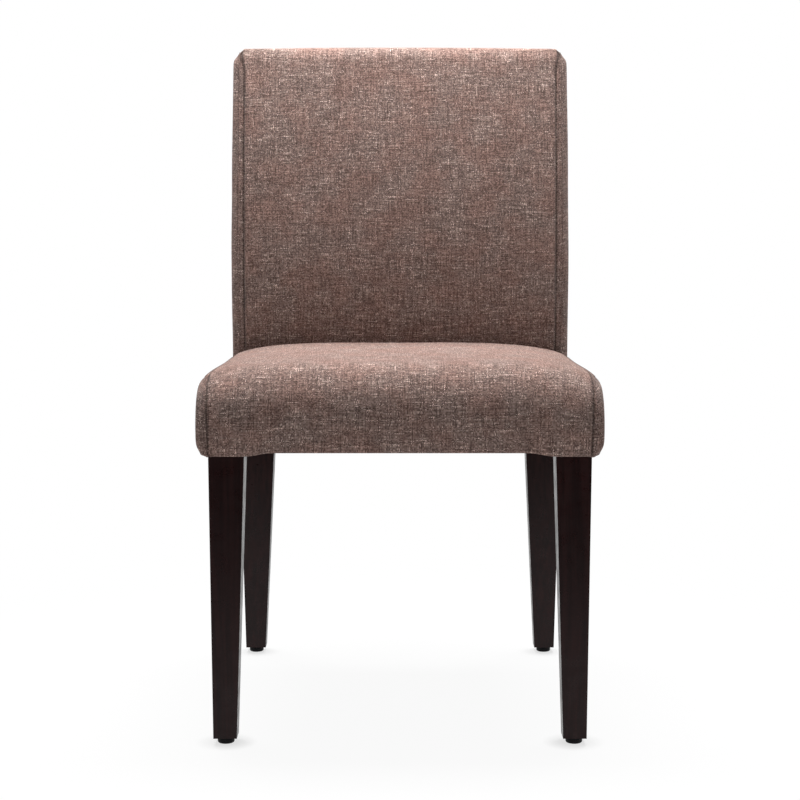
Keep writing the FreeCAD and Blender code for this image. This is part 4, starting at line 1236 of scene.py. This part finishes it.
@dataclass
class Glides:
    """The four levelling glides: a moulded foot on a threaded stem."""

    edge: float = 0.0024
    around: int = 40
    smooth_angle: float = 40.0
    thread_pitch: float = 0.00125
    thread_depth: float = 0.0007
    thread_around: int = 18
    thread_steps: int = 6
    lead_height: float = 0.0015
    lead_depth: float = 0.0008

    def foot_profile(self, radius: float, low: float, high: float) -> list[Spot]:
        """Return the foot's (radius, level): a slightly hollow sole, a rounded edge and an eased top."""
        places = [(radius * 0.3, low + 0.0004), (radius * 0.62, low + 0.0003)]
        places.append((radius - self.edge - 0.001, low))
        for turn in np.radians(np.linspace(-80, 0, 6)):
            places.append((radius - self.edge * (1 - math.cos(turn)), low + self.edge * (1 + math.sin(turn))))
        places += [(radius, high - 0.0012), (radius - 0.0004, high - 0.0004), (radius - 0.0011, high)]
        return places

    def thread_rings(self, centre: Vector, radius: float, low: float, high: float) -> list[list[Place]]:
        """Return the rings of a stem with a screw thread."""
        steps = int((high - low) / self.thread_pitch * self.thread_steps)
        rings = []
        for step in range(steps + 1):
            level = low + (high - low) * step / steps
            lead = min(1.0, (high - level) / self.lead_height)
            reaches = []
            for number in range(self.thread_around):
                wave = (step / self.thread_steps - number / self.thread_around) % 1.0
                inset = self.thread_depth * abs(2 * wave - 1)
                reaches.append(radius - inset - self.lead_depth * (1 - lead))
            rings.append(circle(centre, reaches, level))
        return rings

    def make(self) -> None:
        """Make the foot and stem of each glide."""
        for end in End:
            for side in Side:
                body = f"{end.value}_{side.word}_glide"
                low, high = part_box(f"{body}_base")
                centre = (low + high) / 2
                profile = self.foot_profile((high.x - low.x) / 2, low.z, high.z)
                rings = [circle(centre, [radius] * self.around, level) for radius, level in profile]
                name = f"{body}_foot"
                foot = link(name, lofted(name, rings, self.smooth_angle), material_of(GLIDE_NYLON))
                finish_piece(foot, body, "glide", f"{body}_base")
                low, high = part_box(f"{body}_stem")
                rings = self.thread_rings(centre, (high.x - low.x) / 2, low.z, high.z)
                name = f"{body}_screw"
                screw = link(name, lofted(name, rings), material_of(ZINC_STEEL))
                finish_piece(screw, body, "steel", f"{body}_stem")


@dataclass(frozen=True)
class Runs:
    """Capsules set along lines by geometry nodes."""

    pitch: float
    length: float
    thickness: float

    @staticmethod
    @functools.cache
    def tree() -> Tree:
        """Build the tree that sets capsules along a line of edges, with inputs for their sizes."""
        tree = bpy.data.node_groups.new("capsule_run", "GeometryNodeTree")
        inputs = {"Line": "Geometry", "Pitch": "Float", "Length": "Float", "Thickness": "Float",
                  "Finish": "Material"}
        for word, kind in inputs.items():
            tree.interface.new_socket(word, in_out="INPUT", socket_type=f"NodeSocket{kind}")
        tree.interface.new_socket("Pieces", in_out="OUTPUT", socket_type="NodeSocketGeometry")
        add = tree.nodes.new
        start, finish = add("NodeGroupInput"), add("NodeGroupOutput")
        curve, spread = add("GeometryNodeMeshToCurve"), add("GeometryNodeResampleCurve")
        spread.mode = "LENGTH"
        tangent, turn = add("GeometryNodeInputTangent"), add("FunctionNodeAlignRotationToVector")
        turn.axis = "X"
        bead = add("GeometryNodeMeshUVSphere")
        for word, size in (("Segments", 6), ("Rings", 4), ("Radius", 0.5)):
            bead.inputs[word].default_value = size
        size, place = add("ShaderNodeCombineXYZ"), add("GeometryNodeInstanceOnPoints")
        real, dress = add("GeometryNodeRealizeInstances"), add("GeometryNodeSetMaterial")
        for source, out, target, into in (
                (start, "Line", curve, "Mesh"), (curve, "Curve", spread, "Curve"),
                (start, "Pitch", spread, "Length"),
                (spread, "Curve", place, "Points"), (bead, "Mesh", place, "Instance"),
                (tangent, "Tangent", turn, "Vector"), (turn, "Rotation", place, "Rotation"),
                (start, "Length", size, "X"), (start, "Thickness", size, "Y"),
                (start, "Thickness", size, "Z"),
                (size, "Vector", place, "Scale"), (place, "Instances", real, "Geometry"),
                (real, "Geometry", dress, "Geometry"), (start, "Finish", dress, "Material"),
                (dress, "Geometry", finish, "Pieces")):
            tree.links.new(source.outputs[out], target.inputs[into])
        return tree

    def along(self, name: str, lines: Sequence[Array], material: Material) -> Piece:
        """Set capsules along lines and return them as one plain mesh.

        Args:
            name: The piece's name.
            lines: Lines of places.
            material: The capsules' finish.

        Returns:
            The piece, with no modifier left on it.
        """
        places: list[list[float]] = []
        edges: list[tuple[int, int]] = []
        for line in lines:
            first = len(places)
            places += line.tolist()
            edges += [(number, number + 1) for number in range(first, len(places) - 1)]
        guide_mesh = bpy.data.meshes.new(f"{name}_guide")
        guide_mesh.from_pydata(places, edges, [])
        guide = link(f"{name}_guide", guide_mesh, material)
        runner = guide.modifiers.new("run", "NODES")
        runner.node_group = self.tree()
        given = {"Pitch": self.pitch, "Length": self.length, "Thickness": self.thickness, "Finish": material}
        for item in self.tree().interface.items_tree:
            if item.name in given:
                runner[item.identifier] = given[item.name]
        shown = guide.evaluated_get(bpy.context.evaluated_depsgraph_get())
        mesh = bpy.data.meshes.new_from_object(shown)
        mesh.name = name
        guide.modifiers.remove(runner)
        bpy.data.objects.remove(guide)
        return link(name, mesh, material)


@dataclass
class Stitching:
    """Rows of machine stitches beside the seams."""

    stitch: Runs = Runs(0.0042, 0.0031, 0.0009)
    proud: float = 0.0003

    def line(self, piece: Piece, rows_under: int, front_rows: int, step: int) -> Array:
        """Return a line that follows a side panel's seam up the front and along the top.

        Args:
            piece: The side panel.
            rows_under: How many rows of its grid are the hem.
            front_rows: How many rows stand along the front seam.
            step: How many rows of cloth the line stands from the seam.

        Returns:
            The line's places, just proud of the cloth.
        """
        rows = rows_under + front_rows
        facing = np.array([tuple(entry.vector) for entry in piece.data.vertex_normals])
        grid = (places_of(piece.data) + self.proud * facing).reshape(rows, -1, 3)
        up = grid[rows_under:rows - step, step]
        along = grid[rows - 1 - step, step + 1:-2 * step]
        return np.concatenate([up, along])

    def make(self, covers: dict[str, tuple[Cover, dict[str, Piece]]]) -> None:
        """Sew both sides of each cover, given with its pieces by its name."""
        for word, (cover, pieces) in covers.items():
            lines = []
            for side in Side:
                lines.append(self.line(pieces[f"{word}_{side.word}_panel"], *cover.stitch_lines[side]))
            piece = self.stitch.along(f"{word}_stitches", lines, material_of(THREAD))
            finish_piece(piece, CHAIR, "upholstery")


@dataclass
class Underside:
    """The dust cover under the seat and the staples that hold it."""

    sag: float = 0.003
    slack_reach: float = 0.09
    step: float = 0.0085
    thickness: float = 0.0008
    leg_clear: float = 0.002
    staples: Runs = Runs(0.034, 0.0105, 0.0013)
    staple_inset: float = 0.008
    staple_start: float = 0.02
    staple_proud: float = 0.0003
    shortest_edge: float = 0.2

    def outline(self) -> list[Spot]:
        """Return the dust cover's corners in plan, read from the frame."""
        low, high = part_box("dust_cover")
        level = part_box("back_right_cover")[0].z
        front = outline_at("front_right_leg", level)
        rear = outline_at("rear_right_leg", level)
        notch_front = (front[0] - self.leg_clear, front[3] + self.leg_clear)
        notch_rear = (rear[0] - self.leg_clear, rear[2] - self.leg_clear)
        right = [(notch_front[0], low.y), notch_front, (high.x, notch_front[1]),
                 (high.x, notch_rear[1]), notch_rear, (notch_rear[0], high.y)]
        return right + [(-x, y) for x, y in reversed(right)]

    def make(self) -> None:
        """Make the stretched dust cover and its staples."""
        low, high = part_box("dust_cover")
        corners = self.outline()
        front, rear = corners[1], corners[4]
        xs = self.lines(high.x, (front[0], rear[0]))
        stops = (low.y, front[1], rear[1], high.y)
        bays = [np.linspace(start, end, count) for start, end, count in zip(stops, stops[1:], (6, 44, 6))]
        ys = sorted(set(np.round(np.concatenate(bays), 6)))
        shape = bmesh.new()
        grid = {(x, y): shape.verts.new((x, y, self.level(x, y, low, high))) for x in xs for y in ys}
        for x0, x1 in zip(xs, xs[1:]):
            for y0, y1 in zip(ys, ys[1:]):
                across, along = abs(x0 + x1) / 2, (y0 + y1) / 2
                if along < front[1] and across > front[0] or along > rear[1] and across > rear[0]:
                    continue
                shape.faces.new((grid[x0, y0], grid[x0, y1], grid[x1, y1], grid[x1, y0]))
        bmesh.ops.delete(shape, geom=[v for v in shape.verts if not v.link_faces], context="VERTS")
        area = sum(face.calc_area() for face in shape.faces)
        mesh = bpy.data.meshes.new("dust_cover_cloth")
        shape.to_mesh(mesh)
        shape.free()
        mesh.shade_smooth()
        piece = link("dust_cover_cloth", mesh, material_of(DUST_CLOTH))
        thicken(piece, self.thickness)
        finish_piece(piece, CHAIR, "dust_cloth", "dust_cover")
        self.staple(corners, low.z)

    def lines(self, half: float, stops: Sequence[float]) -> list[float]:
        """Return places across the cloth that pass through the notches' edges on both sides."""
        marks = sorted({0.0, half, *stops})
        places = []
        for start, end in zip(marks, marks[1:]):
            count = max(2, round((end - start) / self.step) + 1)
            places += np.linspace(start, end, count).tolist()
        right = sorted({round(place, 6) for place in places})
        return [-place for place in reversed(right) if place > 0] + right

    def level(self, x: float, y: float, low: Vector, high: Vector) -> float:
        """Return the cloth's height at a place: tight at its edge, slack between the rails."""
        edge = min(high.x - abs(x), y - low.y, high.y - y)
        ripple = noise.noise(Vector((x * 22, y * 22, 4.0))) + 0.5 * noise.noise(Vector((x * 60, y * 60, 7.0)))
        slack = float(smooth(edge / self.slack_reach))
        return low.z + self.thickness - self.sag * slack * (0.8 + 0.35 * ripple)

    def staple(self, corners: Sequence[Spot], level: float) -> None:
        """Set staples along the long straight edges of the dust cover."""
        lines = []
        for start, end in zip(corners, [*corners[1:], corners[0]]):
            first, last = np.array(start), np.array(end)
            length = float(np.linalg.norm(last - first))
            if length < self.shortest_edge:
                continue
            ahead = (last - first) / length
            inset = np.array([-ahead[1], ahead[0]]) * self.staple_inset
            ends = [first + ahead * self.staple_start + inset, last - ahead * self.staple_start + inset]
            lines.append(np.array([[*place, level - self.staple_proud] for place in ends]))
        finish_piece(self.staples.along("dust_cover_staples", lines, material_of(ZINC_STEEL)), CHAIR, "steel")


class FrameParts:
    """The frame's inner parts, which keep their CAD shapes."""

    finishes = {"webbing": WEBBING, "t_nut": ZINC_STEEL, "rail": FRAME_WOOD, "block": FRAME_WOOD}

    @classmethod
    def dress(cls) -> None:
        """Give the rails, tenons, blocks, webbing and T-nuts their finishes."""
        for name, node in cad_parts.items():
            for word, finish in cls.finishes.items():
                if word in name:
                    node.data.materials.clear()
                    node.data.materials.append(material_of(finish))
                    LOG.info("%s dressed in %s", name, finish.name)
                    break


@dataclass
class Studio:
    """The camera, the floor, the lamps and the white surroundings."""

    camera_place: Place = (0.0, -2.5421, 0.6760)
    camera_pitch: float = 5.659
    lens: float = 80.61
    sensor: float = 36.0
    floor_size: float = 9.0
    shade_share: float = 0.06
    contact_share: float = 0.3
    contact_reach: float = 0.055
    far_floor: float = 0.08
    ambient: float = 0.11
    top_power: float = 72.0
    near_power: float = 3.4
    fill_power: float = 19.0
    dim_side: float = 0.06

    def make_camera(self) -> None:
        """Set the camera where the photograph was taken from."""
        data = bpy.data.cameras.new("camera")
        data.lens = self.lens
        data.sensor_width = self.sensor
        camera = bpy.data.objects.new("camera", data)
        camera.location = self.camera_place
        camera.rotation_euler = (math.radians(90 - self.camera_pitch), 0.0, 0.0)
        bpy.context.scene.collection.objects.link(camera)
        bpy.context.scene.camera = camera

    def make_lamp(self, name: str, place: Place, aim: Place, size: Spot, power: float,
                  mirrored: bool = True) -> None:
        """Hang one soft rectangular lamp and turn it to a place; it may be kept out of reflections."""
        data = bpy.data.lights.new(name, "AREA")
        data.shape = "RECTANGLE"
        data.size, data.size_y = size
        data.energy = power
        lamp = bpy.data.objects.new(name, data)
        lamp.location = place
        lamp.rotation_euler = (Vector(aim) - Vector(place)).to_track_quat("-Z", "Y").to_euler()
        lamp.visible_glossy = mirrored
        bpy.context.scene.collection.objects.link(lamp)

    def rays(self, graph: Graph) -> tuple[Sequence[Socket], Socket]:
        """Return the kinds of rays, and 1 for those that show the surroundings themselves."""
        rays = graph.add("ShaderNodeLightPath").outputs
        seen = graph.math("MAXIMUM", rays["Is Camera Ray"], rays["Is Glossy Ray"])
        return rays, graph.math("MAXIMUM", seen, rays["Is Transmission Ray"])

    def make_floor(self) -> None:
        """Lay a white floor that shows the chair's soft shadow near its feet."""
        half = self.floor_size / 2
        mesh = bpy.data.meshes.new("floor")
        corners = [(-half, -half, 0), (half, -half, 0), (half, half, 0), (-half, half, 0)]
        mesh.from_pydata(corners, [], [(0, 1, 2, 3)])
        material = bpy.data.materials.new("white_floor")
        material.use_nodes = True
        graph = Graph(material.node_tree)
        material.node_tree.nodes.clear()
        output = graph.add("ShaderNodeOutputMaterial")
        paint = graph.feed(graph.add("ShaderNodeBsdfDiffuse"), {"Color": (0.8, 0.8, 0.8, 1)}).outputs[0]
        place = graph.add("ShaderNodeTexCoord").outputs["Object"]
        across, along, _ = graph.parts(place)
        far = graph.vector_math("LENGTH", place).outputs["Value"]
        shown = graph.span(far, 0.35, 0.95, self.shade_share, 0.0)
        for end in End:
            low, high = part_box(f"{end.value}_right_glide_base")
            glide = (low + high) / 2
            folded = graph.place(graph.math("ABSOLUTE", across), along, 0.0)
            gap = graph.vector_math("DISTANCE", folded, (glide.x, glide.y, 0.0)).outputs["Value"]
            near = graph.span(gap, 0.008, self.contact_reach, self.contact_share, 0.0)
            shown = graph.math("MAXIMUM", shown, near)
        rays, seen = self.rays(graph)
        front = graph.span(along, -1.8, -0.6, self.far_floor, 1.0)
        strength = graph.math("MAXIMUM", rays["Is Camera Ray"], front)
        white = graph.feed(graph.add("ShaderNodeEmission"), {"Strength": strength}).outputs[0]
        soft = graph.feed(graph.add("ShaderNodeMixShader"), {0: shown, 1: white, 2: paint}).outputs[0]
        whole = graph.feed(graph.add("ShaderNodeMixShader"), {0: seen, 1: paint, 2: soft}).outputs[0]
        graph.feed(output, {0: whole})
        link("floor", mesh, material)

    def make_world(self) -> None:
        """Surround the chair with white that lights it softly, dim in reflections of the side in front."""
        world = bpy.data.worlds.new("studio")
        bpy.context.scene.world = world
        world.use_nodes = True
        graph = Graph(world.node_tree)
        rays, seen = self.rays(graph)
        strength = graph.math("ADD", graph.times(seen, 1.0 - self.ambient), self.ambient)
        _, along, _ = graph.parts(graph.add("ShaderNodeTexCoord").outputs["Generated"])
        front = graph.span(along, -0.5, 0.1, self.dim_side, 1.0)
        mirrored = graph.times(rays["Is Glossy Ray"], graph.math("SUBTRACT", 1.0, front))
        dimmed = graph.times(strength, graph.math("SUBTRACT", 1.0, mirrored))
        graph.feed(world.node_tree.nodes["Background"], {"Color": (1.0, 1.0, 1.0, 1.0), "Strength": dimmed})

    def make(self) -> None:
        """Set up the whole studio."""
        bpy.context.scene.view_settings.view_transform = "Standard"
        self.make_camera()
        self.make_floor()
        self.make_world()
        self.make_lamp("overhead", (0.0, 0.3, 1.9), (0.0, 0.0, 0.4), (1.6, 0.7), self.top_power)
        self.make_lamp("near_top", (0.0, -0.1, 1.45), (0.0, -0.05, 0.4), (1.0, 0.7), self.near_power)
        self.make_lamp("low_fill", (0.0, -3.2, 0.32), (0.0, 0.0, 0.45), (2.6, 0.5), self.fill_power, False)


def main() -> None:
    """Build the chair's pieces and its studio in order."""
    logging.basicConfig(level=logging.INFO, format="%(name)s: %(message)s")
    Studio().make()
    front_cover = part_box("back_front_cover")[0]
    face = BackFace(level=front_cover.z, along=front_cover.y)
    hem = HemFold()
    covers = {"seat": SeatCover(face, hem), "back": BackCover(face, hem)}
    Stitching().make({word: (cover, cover.make()) for word, cover in covers.items()})
    Legs().make()
    Glides().make()
    Underside().make()
    FrameParts.dress()


if __name__ == "__main__":
    main()
